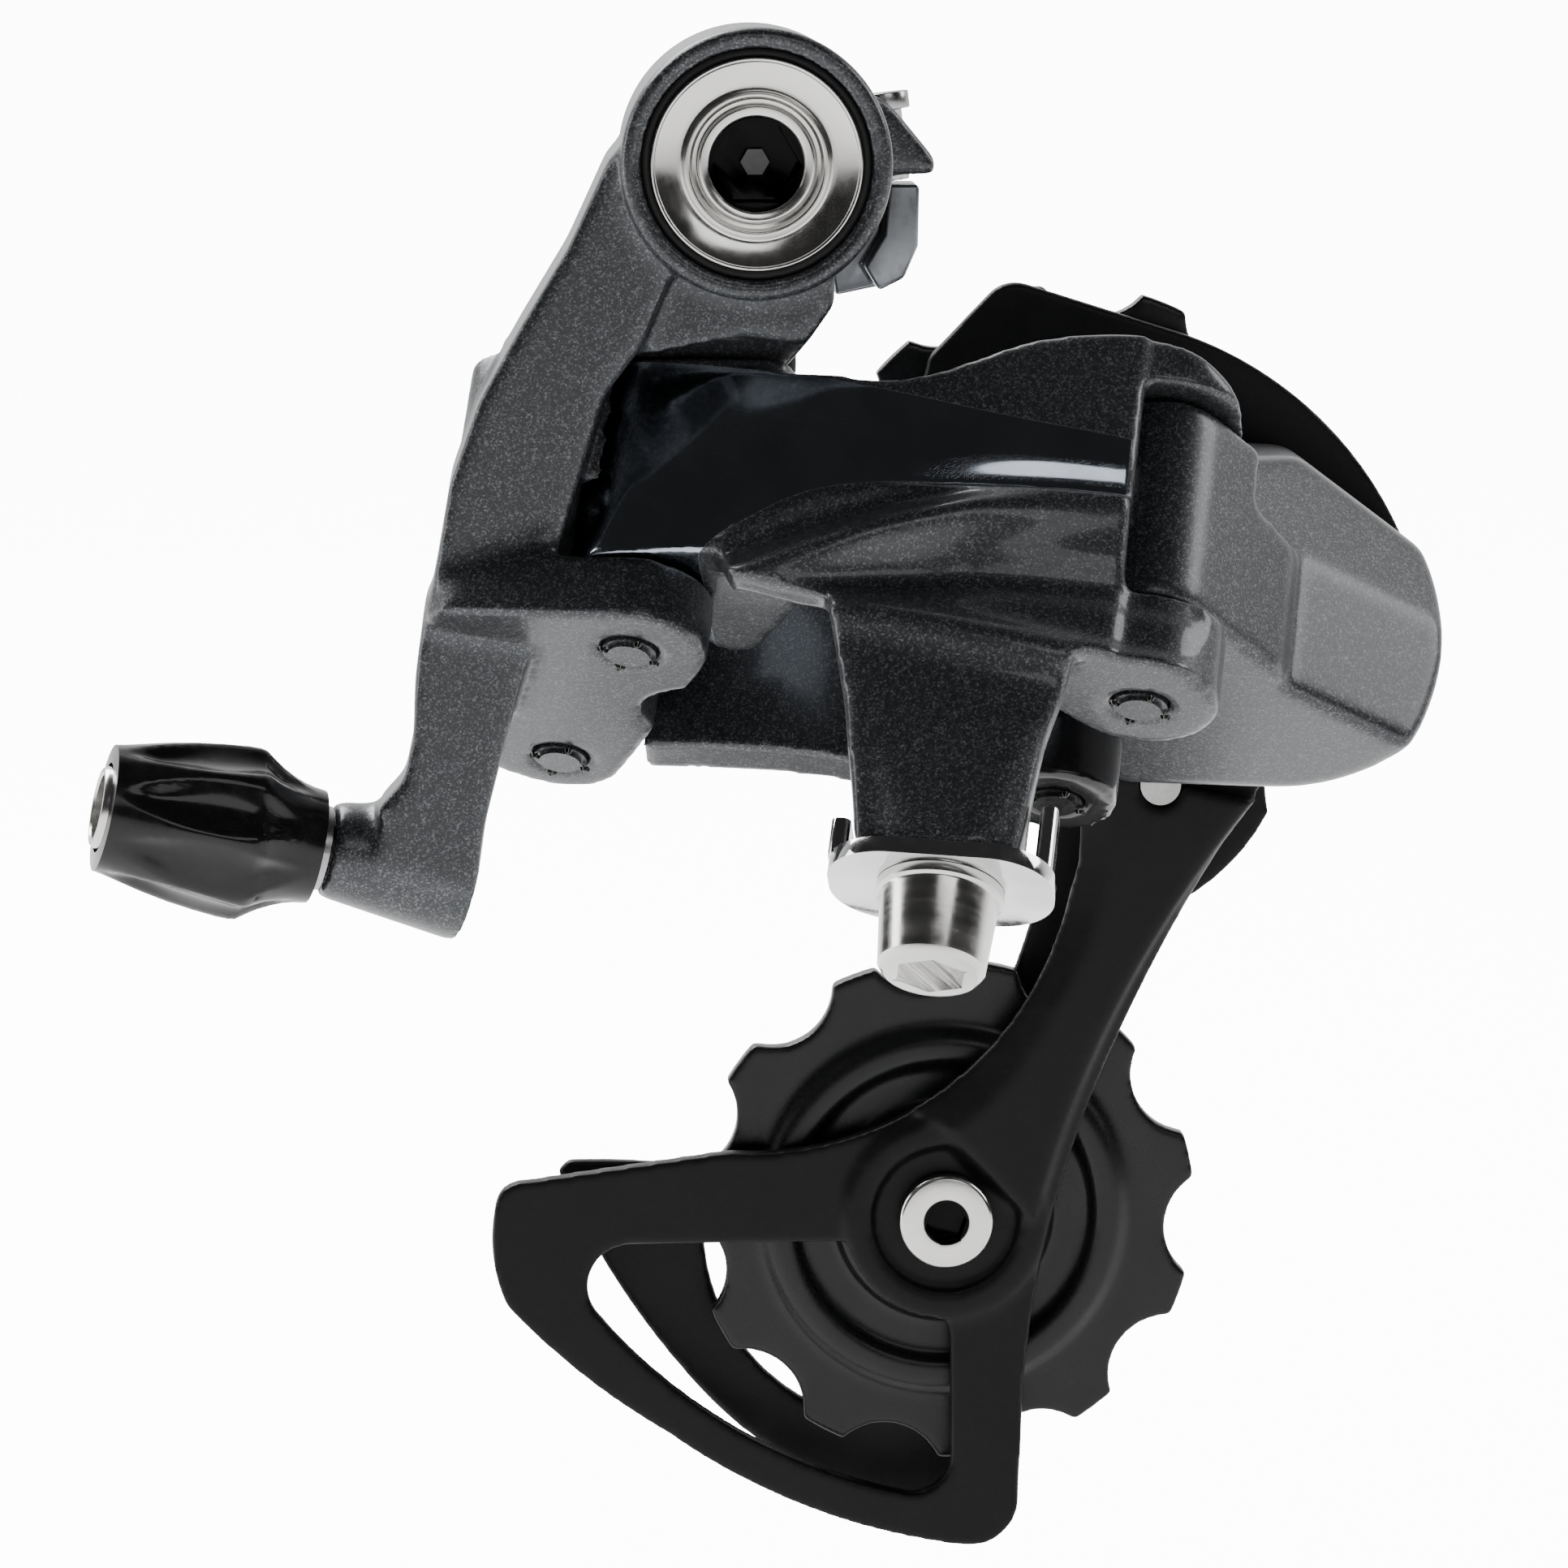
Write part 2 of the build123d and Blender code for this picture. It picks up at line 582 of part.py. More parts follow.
with BuildPart() as p_knuckle:
    # Barrel around the cage pivot, drawn out towards the inner pin
    with BuildSketch(facing_out(p_barrel_back)):
        with Locations((cage_pivot_x, cage_pivot_z)):
            Circle(p_barrel_r)
        with Locations((31.6, -47.6)):
            Circle(3.9)
        with Locations((34.5, -27.0)):
            Circle(3.2)
        make_hull()
    extrude(amount=40)
    # Flat flank along the upper forward side
    with BuildSketch(facing_out(20)):
        with BuildLine():
            Polyline((43.5, -23.6), (55.0, -32.3), (75, -32), (60, -10), (44, -10), close=True)
        make_face()
    extrude(amount=80, mode=Mode.SUBTRACT)
    # Front wall, parallel to the link pins
    with BuildSketch(LINK.offset(-40)):
        with BuildLine():
            (u0, w0), (u1, w1) = front_wall
            du, dw = u1 - u0, w1 - w0
            Polyline((u0 - du, w0 - dw), (u1 + 2 * du, w1 + 2 * dw), (u1 + 2 * du, -120),
                     (u0 - du, -120), close=True)
        make_face()
    extrude(amount=120, mode=Mode.SUBTRACT)
    # Lower face, square to the link pins
    with BuildSketch(LINK.offset(p_lug_low)):
        with Locations((40, 20)):
            Rectangle(200, 200)
    extrude(amount=-80, mode=Mode.SUBTRACT)
    # Boss on the outer pin
    with BuildSketch(LINK.offset(p_lug_low)):
        with Locations(outer_p_pin):
            Circle(4.7)
        with Locations((46.5, 9.0)):
            Circle(4.6)
        with Locations((38.0, 9.5)):
            Circle(3.0)
        make_hull()
    extrude(amount=p_lug_high - p_lug_low)
    # Boss on the inner pin and its web
    with BuildSketch(LINK.offset(p_lug_low)):
        with Locations(inner_p_pin):
            Circle(4.8)
        with Locations((42.0, 10.0), (45.0, 22.0)):
            Circle(3.0)
        make_hull()
    extrude(amount=p_inner_lug_high - p_lug_low)
    # Room for the links' upper ears and walls
    with BuildSketch(LINK.offset(p_inner_lug_high)):
        with Locations(inner_p_pin):
            Circle(5.6)
        with Locations((20, 19), (20, 0)):
            Circle(5.6)
        make_hull()
    extrude(amount=20, mode=Mode.SUBTRACT)
    with BuildSketch(LINK.offset(p_lug_high)):
        with Locations(outer_p_pin):
            Circle(7.0)
    extrude(amount=20, mode=Mode.SUBTRACT)
    # Front wall leans back above the ridge
    ridge_dir = (link_dir * du + LINK.y_dir * dw).normalized()
    lean_origin = LINK.from_local_coords(Vector(u0, w0, ridge_height))
    lean_plane = Plane(origin=lean_origin, x_dir=ridge_dir,
                       z_dir=ridge_dir.cross(pin_dir).rotate(Axis((0, 0, 0), ridge_dir), -upper_lean))
    with BuildSketch(lean_plane):
        with Locations((16, 12)):
            Rectangle(28, 24)
    extrude(amount=14, mode=Mode.SUBTRACT)
    # Keep the barrel's back face flat and hollow it for axle and spring
    with BuildSketch(facing_out(p_barrel_back)):
        with Locations((40, -38)):
            Rectangle(90, 90)
    extrude(amount=-40, mode=Mode.SUBTRACT)
    add(turn([(0, axle_bore_front), (5.1, axle_bore_front), (5.1, p_cavity_front),
              (8.6, p_cavity_front), (8.6, p_seal_front - 0.6), (9.6, p_seal_front - 0.6),
              (9.6, 10), (0, 10)], cage_axis, y_axis), mode=Mode.SUBTRACT)
    with BuildSketch(LINK.offset(-2)):
        with Locations(outer_p_pin, inner_p_pin):
            Circle(pin_r)
    extrude(amount=34, mode=Mode.SUBTRACT)
save(p_knuckle.part, "p_knuckle")

# Axle, bush, spring and seal of the cage pivot
p_axle = turn([(0, axle_bore_front + 0.2), (cage_axle_r, axle_bore_front + 0.2), (cage_axle_r, 5.75), (6.4, 5.75), (6.4, 6.95),
               (3.4, 6.95), (3.4, 9.0), (4.4, 9.0), (4.4, 9.4), (0, 9.4)], cage_axis, y_axis)
save(p_axle, "p_axle")
p_bush = turn([(cage_axle_r + running_gap, axle_bore_front + 0.1), (5.08, axle_bore_front + 0.1),
               (5.08, p_cavity_front), (6.2, p_cavity_front), (6.2, p_cavity_front + 0.8),
               (cage_axle_r + running_gap, p_cavity_front + 0.8)], cage_axis, y_axis)
save(p_bush, "p_bush")
p_spring = coil(7.6, 0.75, 9.0, 5.0, (cage_pivot_x, -6.9, cage_pivot_z), y_axis)
save(p_spring, "p_spring")
p_seal = turn([(cage_axle_r + 0.1, p_seal_front), (9.55, p_seal_front),
               (9.55, p_seal_front + 1.5), (cage_axle_r + 0.1, p_seal_front + 1.5)],
              cage_axis, y_axis)
save(p_seal, "p_seal")

# ---------------------------------------------------------------- cage

stop_screw_x, stop_screw_z = 34.8, -53.2


def bolt_hole(x, z, r):
    with Locations((x, z)):
        Circle(r, mode=Mode.SUBTRACT)


with BuildPart() as outer_plate:
    with BuildSketch(facing_out(plate_outer_back)):
        with BuildLine():
            Polyline((13.4, -25.0), (15.4, -17.3), (20.6, -11.9))
            ThreePointArc((20.6, -11.9), (21.9, -11.25), (23.6, -11.4))
            Line((23.6, -11.4), (36.6, -15.5))
            ThreePointArc((36.6, -15.5), (49.1, -23.6), (56.3, -36.0))
            ThreePointArc((56.3, -36.0), (53.8, -45.9), (44.6, -51.6))
            ThreePointArc((44.6, -51.6), (38.0, -61.8), (31.6, -74.2))
            ThreePointArc((31.6, -74.2), (26.4, -88.4), (23.6, -104.1))
            Line((23.6, -104.1), (23.2, -113.9))
            ThreePointArc((23.2, -113.9), (22.0, -117.3), (18.6, -118.5))
            ThreePointArc((18.6, -118.5), (5.6, -115.2), (-6.6, -108.5))
            ThreePointArc((-6.6, -108.5), (-13.4, -103.8), (-20.2, -97.4))
            ThreePointArc((-20.2, -97.4), (-21.3, -93.4), (-21.1, -89.0))
            ThreePointArc((-21.1, -89.0), (-20.4, -87.5), (-18.8, -86.9))
            Line((-18.8, -86.9), (-1.3, -84.4))
            ThreePointArc((-1.3, -84.4), (16.8, -79.2), (27.4, -62.4))
            ThreePointArc((27.4, -62.4), (28.4, -56.5), (27.0, -51.0))
            ThreePointArc((27.0, -51.0), (18.0, -42.0), (13.4, -25.0))
        make_face()
        # Window between the bars
        with BuildLine():
            Line((-10.2, -92.3), (9.3, -92.1))
            ThreePointArc((9.3, -92.1), (11.5, -96.2), (15.2, -98.1))
            ThreePointArc((15.2, -98.1), (16.8, -98.9), (17.3, -100.5))
            Line((17.3, -100.5), (17.5, -110.9))
            ThreePointArc((17.5, -110.9), (16.2, -113.2), (13.2, -113.8))
            ThreePointArc((13.2, -113.8), (-0.6, -108.4), (-12.4, -98.4))
            ThreePointArc((-12.4, -98.4), (-13.1, -94.6), (-10.2, -92.3))
        make_face(mode=Mode.SUBTRACT)
    extrude(amount=plate_outer_back - plate_outer_front)
    # Ring around the tension pulley's bolt, with a shallow seat for the bolt's head
    with BuildSketch(facing_out(plate_outer_front)):
        with Locations((tension_x, tension_z)):
            Circle(8.6)
    extrude(amount=0.6)
    with BuildSketch(facing_out(plate_outer_front - 0.6)):
        with Locations((tension_x, tension_z)):
            Circle(6.2)
    extrude(amount=-1.0, mode=Mode.SUBTRACT)
    # Rib along the arm, with a broad bevel on its rearward side
    with BuildSketch(facing_out(plate_outer_front)):
        with BuildLine():
            ThreePointArc((27.2, -51.5), (27.6, -60.5), (23.2, -70.6))
            ThreePointArc((23.2, -70.6), (19.0, -76.0), (13.0, -80.2))
            Line((13.0, -80.2), (24.9, -91.2))
            ThreePointArc((24.9, -91.2), (31.9, -71.9), (43.2, -54.4))
            Line((43.2, -54.4), (27.2, -51.5))
        make_face()
    with BuildSketch(facing_out(plate_outer_front - 1.1)):
        with BuildLine():
            ThreePointArc((30.2, -51.8), (30.4, -60.8), (25.9, -72.2))
            ThreePointArc((25.9, -72.2), (22.0, -78.6), (17.4, -82.6))
            Line((17.4, -82.6), (24.2, -90.2))
            ThreePointArc((24.2, -90.2), (31.1, -71.8), (42.4, -54.6))
            Line((42.4, -54.6), (30.2, -51.8))
        make_face()
    loft(ruled=True)
    with BuildSketch(facing_out(12)):
        for x, z in ((tension_x, tension_z), (guide_x, guide_z)):
            with Locations((x, z)):
                Circle(pulley_bolt_r)
        with Locations((cage_pivot_x, cage_pivot_z)):
            Circle(3.4)
        with Locations((stop_screw_x, stop_screw_z)):
            Circle(1.2)
    extrude(amount=12, mode=Mode.SUBTRACT)
    with BuildSketch(facing_out(plate_outer_front)):
        with Locations((tension_x, tension_z)):
            Circle(4.3)
        with Locations((cage_pivot_x, cage_pivot_z)):
            Circle(6.7)
        with Locations((stop_screw_x, stop_screw_z)):
            Circle(1.8)
    extrude(amount=3, mode=Mode.SUBTRACT)
save(outer_plate.part, "outer_plate")

with BuildPart() as inner_plate:
    with BuildSketch(facing_out(plate_inner_back)):
        # Strap between the pulleys
        with BuildLine():
            ThreePointArc((20.6, -26.6), (29.4, -23.8), (36.4, -30.0))
            ThreePointArc((36.4, -30.0), (41.6, -42.0), (44.8, -56.8))
            ThreePointArc((44.8, -56.8), (42.0, -60.8), (37.4, -64.4))
            ThreePointArc((37.4, -64.4), (35.6, -68.4), (31.0, -74.6))
            ThreePointArc((31.0, -74.6), (26.6, -86.4), (23.4, -99.0))
            Line((23.4, -99.0), (22.8, -113.2))
            ThreePointArc((22.8, -113.2), (21.4, -116.4), (18.4, -117.4))
            ThreePointArc((18.4, -117.4), (6.6, -114.2), (-4.6, -105.4))
            ThreePointArc((-4.6, -105.4), (-11.2, -96.4), (-15.8, -87.4))
            Line((-15.8, -87.4), (-14.9, -86.5))
            Line((-14.9, -86.5), (-11.6, -86.5))
            Line((-11.6, -86.5), (-2.4, -86.9))
            ThreePointArc((-2.4, -86.9), (-2.2, -98.6), (5.6, -107.6))
            ThreePointArc((5.6, -107.6), (10.4, -108.4), (12.0, -104.0))
            Line((12.0, -104.0), (10.2, -94.0))
            ThreePointArc((10.2, -94.0), (10.6, -85.0), (17.6, -80.6))
            ThreePointArc((17.6, -80.6), (24.6, -66.0), (26.4, -52.0))
            ThreePointArc((26.4, -52.0), (21.6, -40.0), (20.6, -26.6))
        make_face()
        for x, z in ((tension_x, tension_z), (guide_x, guide_z)):
            bolt_hole(x, z, pulley_bolt_r)
    extrude(amount=plate_inner_back - plate_inner_front)
save(inner_plate.part, "inner_plate")

# Stop screw of the cage against the lower knuckle
cage_stop_screw = turn([(0, 6.2), (1.7, 6.2), (1.7, 7.0), (1.2, 7.0), (1.2, 9.6), (0, 9.6)],
                       (stop_screw_x, 0, stop_screw_z), y_axis)
save(cage_stop_screw, "cage_stop_screw")


def pulley(x, z, phase):
    """Chain pulley: teeth with round valleys between flat tips, thin rim, thicker hub."""
    pitch_angle = 360 / pulley_teeth
    valley_centre_r = pulley_root_r + pulley_valley_r
    with BuildPart() as wheel:
        with BuildSketch(facing_out(pulley_y + 1.2)):
            with Locations((x, z)):
                Circle(pulley_tip_r)
                with PolarLocations(valley_centre_r, pulley_teeth, start_angle=phase + pitch_angle / 2):
                    Circle(pulley_valley_r, mode=Mode.SUBTRACT)
        extrude(amount=2.4)
        add(turn([(pulley_bush_r + running_gap, -2.4), (9.0, -2.4), (9.4, -1.2), (12.4, -1.2),
                  (13.0, -2.2), (14.8, -2.2), (16.0, -1.2), (16.0, 1.2), (14.8, 2.2), (13.0, 2.2),
                  (12.4, 1.2), (9.4, 1.2), (9.0, 2.4), (pulley_bush_r + running_gap, 2.4)],
                 (x, pulley_y, z), y_axis))
        with BuildSketch(facing_out(pulley_y + 3)):
            with Locations((x, z)):
                Circle(pulley_bush_r + running_gap)
        extrude(amount=6, mode=Mode.SUBTRACT)
    return wheel.part


def pulley_bolt(x, z, head_front):
    """Socket bolt through both plates."""
    with BuildPart() as bolt:
        add(turn([(0, head_front), (3.6, head_front), (4.0, head_front + 0.4), (4.0, 6.95),
                  (pulley_bolt_r, 6.95), (pulley_bolt_r, 17.2), (2.1, 17.6), (0, 17.6)],
                 (x, 0, z), y_axis))
        with BuildSketch(facing_out(head_front)):
            with Locations((x, z)):
                RegularPolygon(1.5, 6, major_radius=False, rotation=20)
        extrude(amount=-1.8, mode=Mode.SUBTRACT)
    return bolt.part


def pulley_bush(x, z):
    return turn([(pulley_bolt_r + 0.01, plate_outer_back), (pulley_bush_r, plate_outer_back),
                 (pulley_bush_r, plate_inner_front), (pulley_bolt_r + 0.01, plate_inner_front)],
                (x, 0, z), y_axis)


def dust_caps(x, z):
    """The two steel shields beside a pulley's hub."""
    with BuildPart() as caps:
        for front in (9.15, 14.4):
            add(turn([(3.9, front), (8.1, front), (8.1, front + 0.45), (3.9, front + 0.45)],
                     (x, 0, z), y_axis))
    return caps.part


for name, x, z, phase, head_front in (("guide", guide_x, guide_z, guide_phase, 5.9),
                                      ("tension", tension_x, tension_z, tension_phase, 5.4)):
    save(pulley(x, z, phase), f"{name}_pulley")
    save(pulley_bolt(x, z, head_front), f"{name}_pulley_bolt")
    save(pulley_bush(x, z), f"{name}_pulley_bush")
    save(dust_caps(x, z), f"{name}_pulley_shields")
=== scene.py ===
from math import cos, exp, pi, radians, sin, sqrt

import bmesh
import bpy
from bpy.props import FloatProperty, FloatVectorProperty, IntProperty, PointerProperty
from mathutils import Matrix, Vector


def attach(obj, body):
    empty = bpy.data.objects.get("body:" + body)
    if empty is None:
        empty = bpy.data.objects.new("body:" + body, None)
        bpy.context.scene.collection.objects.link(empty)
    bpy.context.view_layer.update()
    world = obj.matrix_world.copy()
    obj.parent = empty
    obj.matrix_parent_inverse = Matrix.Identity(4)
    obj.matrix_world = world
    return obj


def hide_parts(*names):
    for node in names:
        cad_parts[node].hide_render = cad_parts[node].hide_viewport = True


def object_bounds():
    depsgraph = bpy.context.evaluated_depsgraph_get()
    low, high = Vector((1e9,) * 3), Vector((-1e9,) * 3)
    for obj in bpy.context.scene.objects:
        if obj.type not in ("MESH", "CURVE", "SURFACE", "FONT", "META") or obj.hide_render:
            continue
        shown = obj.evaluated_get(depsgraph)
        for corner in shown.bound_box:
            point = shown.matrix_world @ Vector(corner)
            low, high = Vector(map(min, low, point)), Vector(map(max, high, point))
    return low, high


bl_info = {
    "name": "Rear derailleur",
    "version": (1, 0, 0),
    "blender": (4, 5, 0),
    "location": "View3D > Sidebar > Derailleur",
    "description": "Builds the castings, cage, pulleys and hardware of a rear derailleur",
    "category": "Object",
}

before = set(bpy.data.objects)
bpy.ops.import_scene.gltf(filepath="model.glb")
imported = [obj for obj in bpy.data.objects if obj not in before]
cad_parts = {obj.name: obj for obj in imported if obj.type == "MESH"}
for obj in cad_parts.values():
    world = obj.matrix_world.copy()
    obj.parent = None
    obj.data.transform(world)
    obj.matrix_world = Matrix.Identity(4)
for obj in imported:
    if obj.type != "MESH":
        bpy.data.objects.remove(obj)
CAD_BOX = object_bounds()

MM = 0.001
PIN_DIR = Vector((0.136826, 0.559193, 0.817666))
LINK_DIR = Vector((0.984478, -0.168304, -0.049640))
LINK_IN = PIN_DIR.cross(LINK_DIR)
LINK_ORIGIN = Vector((-10.1, -25.0, -38.4))
INBOARD = Vector((0, 1, 0))
ADJUSTER_START = Vector((-34.3, -19.5, -54.6))
ADJUSTER_DIR = Vector((-0.963, -0.17, 0.21)).normalized()
GUIDE_CENTRE = Vector((27.3, 12, -33.1))
TENSION_CENTRE = Vector((16.9, 12, -90.2))


def link_point(along, inward, up):
    """Point of the link frame, in millimetres of the row frame."""
    return LINK_ORIGIN + LINK_DIR * along + LINK_IN * inward + PIN_DIR * up


def link_coordinates(co):
    """(along, inward, up) in the link frame, in millimetres, of a point in metres."""
    q = co / MM - LINK_ORIGIN
    return q.dot(LINK_DIR), q.dot(LINK_IN), q.dot(PIN_DIR)


OUTER_B_PIN = link_point(0, 0, 0)
INNER_B_PIN = link_point(-7.6, 19.0, 0)
OUTER_P_PIN = link_point(40.6, 0, 0)
INNER_P_PIN = link_point(33.0, 19.0, 0)
ANCHOR_TOP = link_point(27.3, -4.4, -19.6)


def eased(value, low, high):
    """0 below low, 1 above high, smooth between."""
    t = min(1.0, max(0.0, (value - low) / (high - low)))
    return t * t * (3 - 2 * t)


def along_line(points, x):
    """Height at x of a broken line of (x, height) points."""
    if x <= points[0][0]:
        return points[0][1]
    for (x0, y0), (x1, y1) in zip(points, points[1:]):
        if x <= x1:
            return y0 + (y1 - y0) * (x - x0) / (x1 - x0)
    return points[-1][1]


# ---------------------------------------------------------------- settings

class DerailleurFinishes(bpy.types.PropertyGroup):
    """Colours and grain of the finishes."""
    paint_color: FloatVectorProperty(
        name="Paint", description="Base colour of the flake paint on the castings",
        subtype="COLOR", size=4, min=0, max=1, default=(0.026, 0.028, 0.031, 1))
    flake_color: FloatVectorProperty(
        name="Flake", description="Colour of the brightest flakes in the paint",
        subtype="COLOR", size=4, min=0, max=1, default=(0.30, 0.31, 0.325, 1))
    flake_size: FloatProperty(
        name="Flake size", description="Mean distance between flakes", subtype="DISTANCE",
        unit="LENGTH", min=0.00005, max=0.001, default=0.00013)
    panel_color: FloatVectorProperty(
        name="Link panel", description="Colour of the polished panel on the outer link",
        subtype="COLOR", size=4, min=0, max=1, default=(0.24, 0.265, 0.30, 1))
    cage_color: FloatVectorProperty(
        name="Cage", description="Colour of the anodised cage plates", subtype="COLOR", size=4,
        min=0, max=1, default=(0.005, 0.005, 0.0055, 1))
    resin_color: FloatVectorProperty(
        name="Resin", description="Colour of the pulleys and the adjuster knob",
        subtype="COLOR", size=4, min=0, max=1, default=(0.004, 0.004, 0.0045, 1))
    steel_color: FloatVectorProperty(
        name="Steel", description="Colour of the turned steel parts", subtype="COLOR", size=4,
        min=0, max=1, default=(0.66, 0.65, 0.63, 1))


class DerailleurSizes(bpy.types.PropertyGroup):
    """Sizes of the details."""
    casting_grid: FloatProperty(
        name="Casting grid", description="Mesh size of the castings", subtype="DISTANCE",
        unit="LENGTH", min=0.0002, max=0.001, default=0.00034)
    casting_rounds: IntProperty(
        name="Casting rounding", description="Smoothing passes that round the castings' edges",
        min=0, max=60, default=11)
    ridge_height: FloatProperty(
        name="Ridge height", description="Height of the sculpted ridges on the outer link",
        subtype="DISTANCE", unit="LENGTH", min=0, max=0.003, default=0.0016)
    knob_flutes: IntProperty(
        name="Knob flutes", description="Number of leaf-shaped hollows round the adjuster knob",
        min=4, max=16, default=8)
    knob_flute_depth: FloatProperty(
        name="Flute depth", description="Depth of the hollows in the adjuster knob",
        subtype="DISTANCE", unit="LENGTH", min=0, max=0.002, default=0.00085)


class DerailleurStudio(bpy.types.PropertyGroup):
    """Lights and floor."""
    floor_color: FloatVectorProperty(
        name="Floor", description="Colour of the floor", subtype="COLOR", size=4, min=0, max=1,
        default=(0.92, 0.92, 0.92, 1))
    floor_glow: FloatProperty(
        name="Floor glow", description="Light that the floor throws on the object", min=0,
        max=10, default=0.9)
    floor_white: FloatProperty(
        name="Floor white", description="How bright the floor itself looks", min=0, max=40,
        default=12.0)
    backdrop_light: FloatProperty(
        name="Backdrop", description="Light from behind the object", min=0, max=10, default=1.6)
    key_power: FloatProperty(
        name="Rear light", description="Power of the large light above and behind", min=0,
        max=100, default=14.0)
    fill_power: FloatProperty(
        name="Side light", description="Power of the lights at the sides", min=0, max=100,
        default=4.0)


# ---------------------------------------------------------------- finishes

class Finish:
    """A node material under construction, with short ways to add and join nodes."""

    def __init__(self, name):
        self.material = bpy.data.materials.new(name)
        self.material.use_nodes = True
        self.tree = self.material.node_tree
        self.shader = self.tree.nodes["Principled BSDF"]
        self.place = self.tree.nodes.new("ShaderNodeTexCoord").outputs["Object"]

    @classmethod
    def reopened(cls, material):
        """The same builder on a finished material."""
        finish = cls.__new__(cls)
        finish.material = material
        finish.tree = material.node_tree
        finish.shader = finish.tree.nodes["Principled BSDF"]
        finish.place = finish.tree.nodes["Texture Coordinate"].outputs["Object"]
        return finish

    def add(self, kind, inputs, **settings):
        node = self.tree.nodes.new("ShaderNode" + kind)
        for key, value in settings.items():
            setattr(node, key, value)
        for key, value in inputs.items():
            self.plug(node.inputs[key], value)
        return node

    def plug(self, socket, value):
        if isinstance(value, bpy.types.NodeSocket):
            self.tree.links.new(value, socket)
        else:
            socket.default_value = value

    def shade(self, **values):
        for key, value in values.items():
            self.plug(self.shader.inputs[key.replace("_", " ")], value)
        return self.material

    def maths(self, operation, a, b=0.0, c=0.0):
        return self.add("Math", {0: a, 1: b, 2: c}, operation=operation).outputs[0]

    def noise(self, size, detail=3.0, roughness=0.5, place=None):
        return self.add("TexNoise", {"Vector": place or self.place, "Scale": 1 / size,
                                     "Detail": detail, "Roughness": roughness}).outputs["Fac"]

    def cells(self, size):
        """A random value for each cell of about that size."""
        colour = self.add("TexVoronoi", {"Vector": self.place, "Scale": 1 / size}).outputs["Color"]
        return self.add("SeparateColor", {0: colour}).outputs[0]

    def spread(self, value, low, high, out_low=0.0, out_high=1.0):
        return self.add("MapRange", {0: value, 1: low, 2: high, 3: out_low, 4: out_high},
                        clamp=True).outputs[0]

    def mixed(self, share, first, second):
        return self.add("Mix", {0: share, 6: first, 7: second}, data_type="RGBA").outputs[2]

    def bump(self, height, strength, distance):
        return self.add("Bump", {"Strength": strength, "Distance": distance,
                                 "Height": height}).outputs[0]

    def distance_from_axis(self, origin, axis):
        """Distance in metres from an axis given in millimetres."""
        offset = self.add("VectorMath", {0: self.place, 1: origin * MM},
                          operation="SUBTRACT").outputs[0]
        across = self.add("VectorMath", {0: offset, 1: axis}, operation="CROSS_PRODUCT").outputs[0]
        return self.add("VectorMath", {0: across}, operation="LENGTH").outputs["Value"]

    def link_coordinate(self, axis):
        """Coordinate in millimetres along one axis of the link frame."""
        offset = self.add("VectorMath", {0: self.place, 1: LINK_ORIGIN * MM},
                          operation="SUBTRACT").outputs[0]
        value = self.add("VectorMath", {0: offset, 1: axis},
                         operation="DOT_PRODUCT").outputs["Value"]
        return self.maths("DIVIDE", value, MM)

    def curve(self, value, points, low, high, out_high):
        """Height of a smooth curve through (x, height) points, x from low to high."""
        node = self.add("FloatCurve", {1: self.spread(value, low, high)})
        line = node.mapping.curves[0]
        scaled = [((x - low) / (high - low), y / out_high) for x, y in points]
        line.points[0].location = scaled[0]
        line.points[1].location = scaled[-1]
        for x, y in scaled[1:-1]:
            line.points.new(x, y)
        node.mapping.update()
        return self.maths("MULTIPLY", node.outputs[0], out_high)


def paint_layer(finish, settings):
    """Colour, roughness and normal of the dark flake paint."""
    flake = finish.cells(settings.flake_size)
    coarse = finish.noise(0.0006, 2.0)
    bright = finish.maths("POWER", flake, 4.0)
    bright = finish.maths("MULTIPLY", bright, finish.spread(coarse, 0.3, 0.7, 0.25, 0.45))
    colour = finish.mixed(bright, tuple(settings.paint_color), tuple(settings.flake_color))
    roughness = finish.spread(flake, 0.0, 1.0, 0.34, 0.48)
    normal = finish.bump(flake, 0.16, 0.00003)
    return colour, roughness, normal


def flake_paint(name, settings):
    finish = Finish(name)
    colour, roughness, normal = paint_layer(finish, settings)
    return finish.shade(Base_Color=colour, Roughness=roughness, Normal=normal, Metallic=0.72,
                        Coat_Weight=0.35, Coat_Roughness=0.22)


# Borders of the polished panel on the outer link: (distance along the link, height)
PANEL_LOW = ((-6, 5.2), (3.9, 5.0), (7.5, 7.4), (13.5, 10.8), (19.8, 12.0), (26.2, 12.4),
             (38.4, 12.8), (46, 12.8))
PANEL_HIGH = ((-6, 24.0), (9.9, 21.9), (18.8, 20.4), (28.7, 18.8), (38.5, 18.0), (46, 17.4))


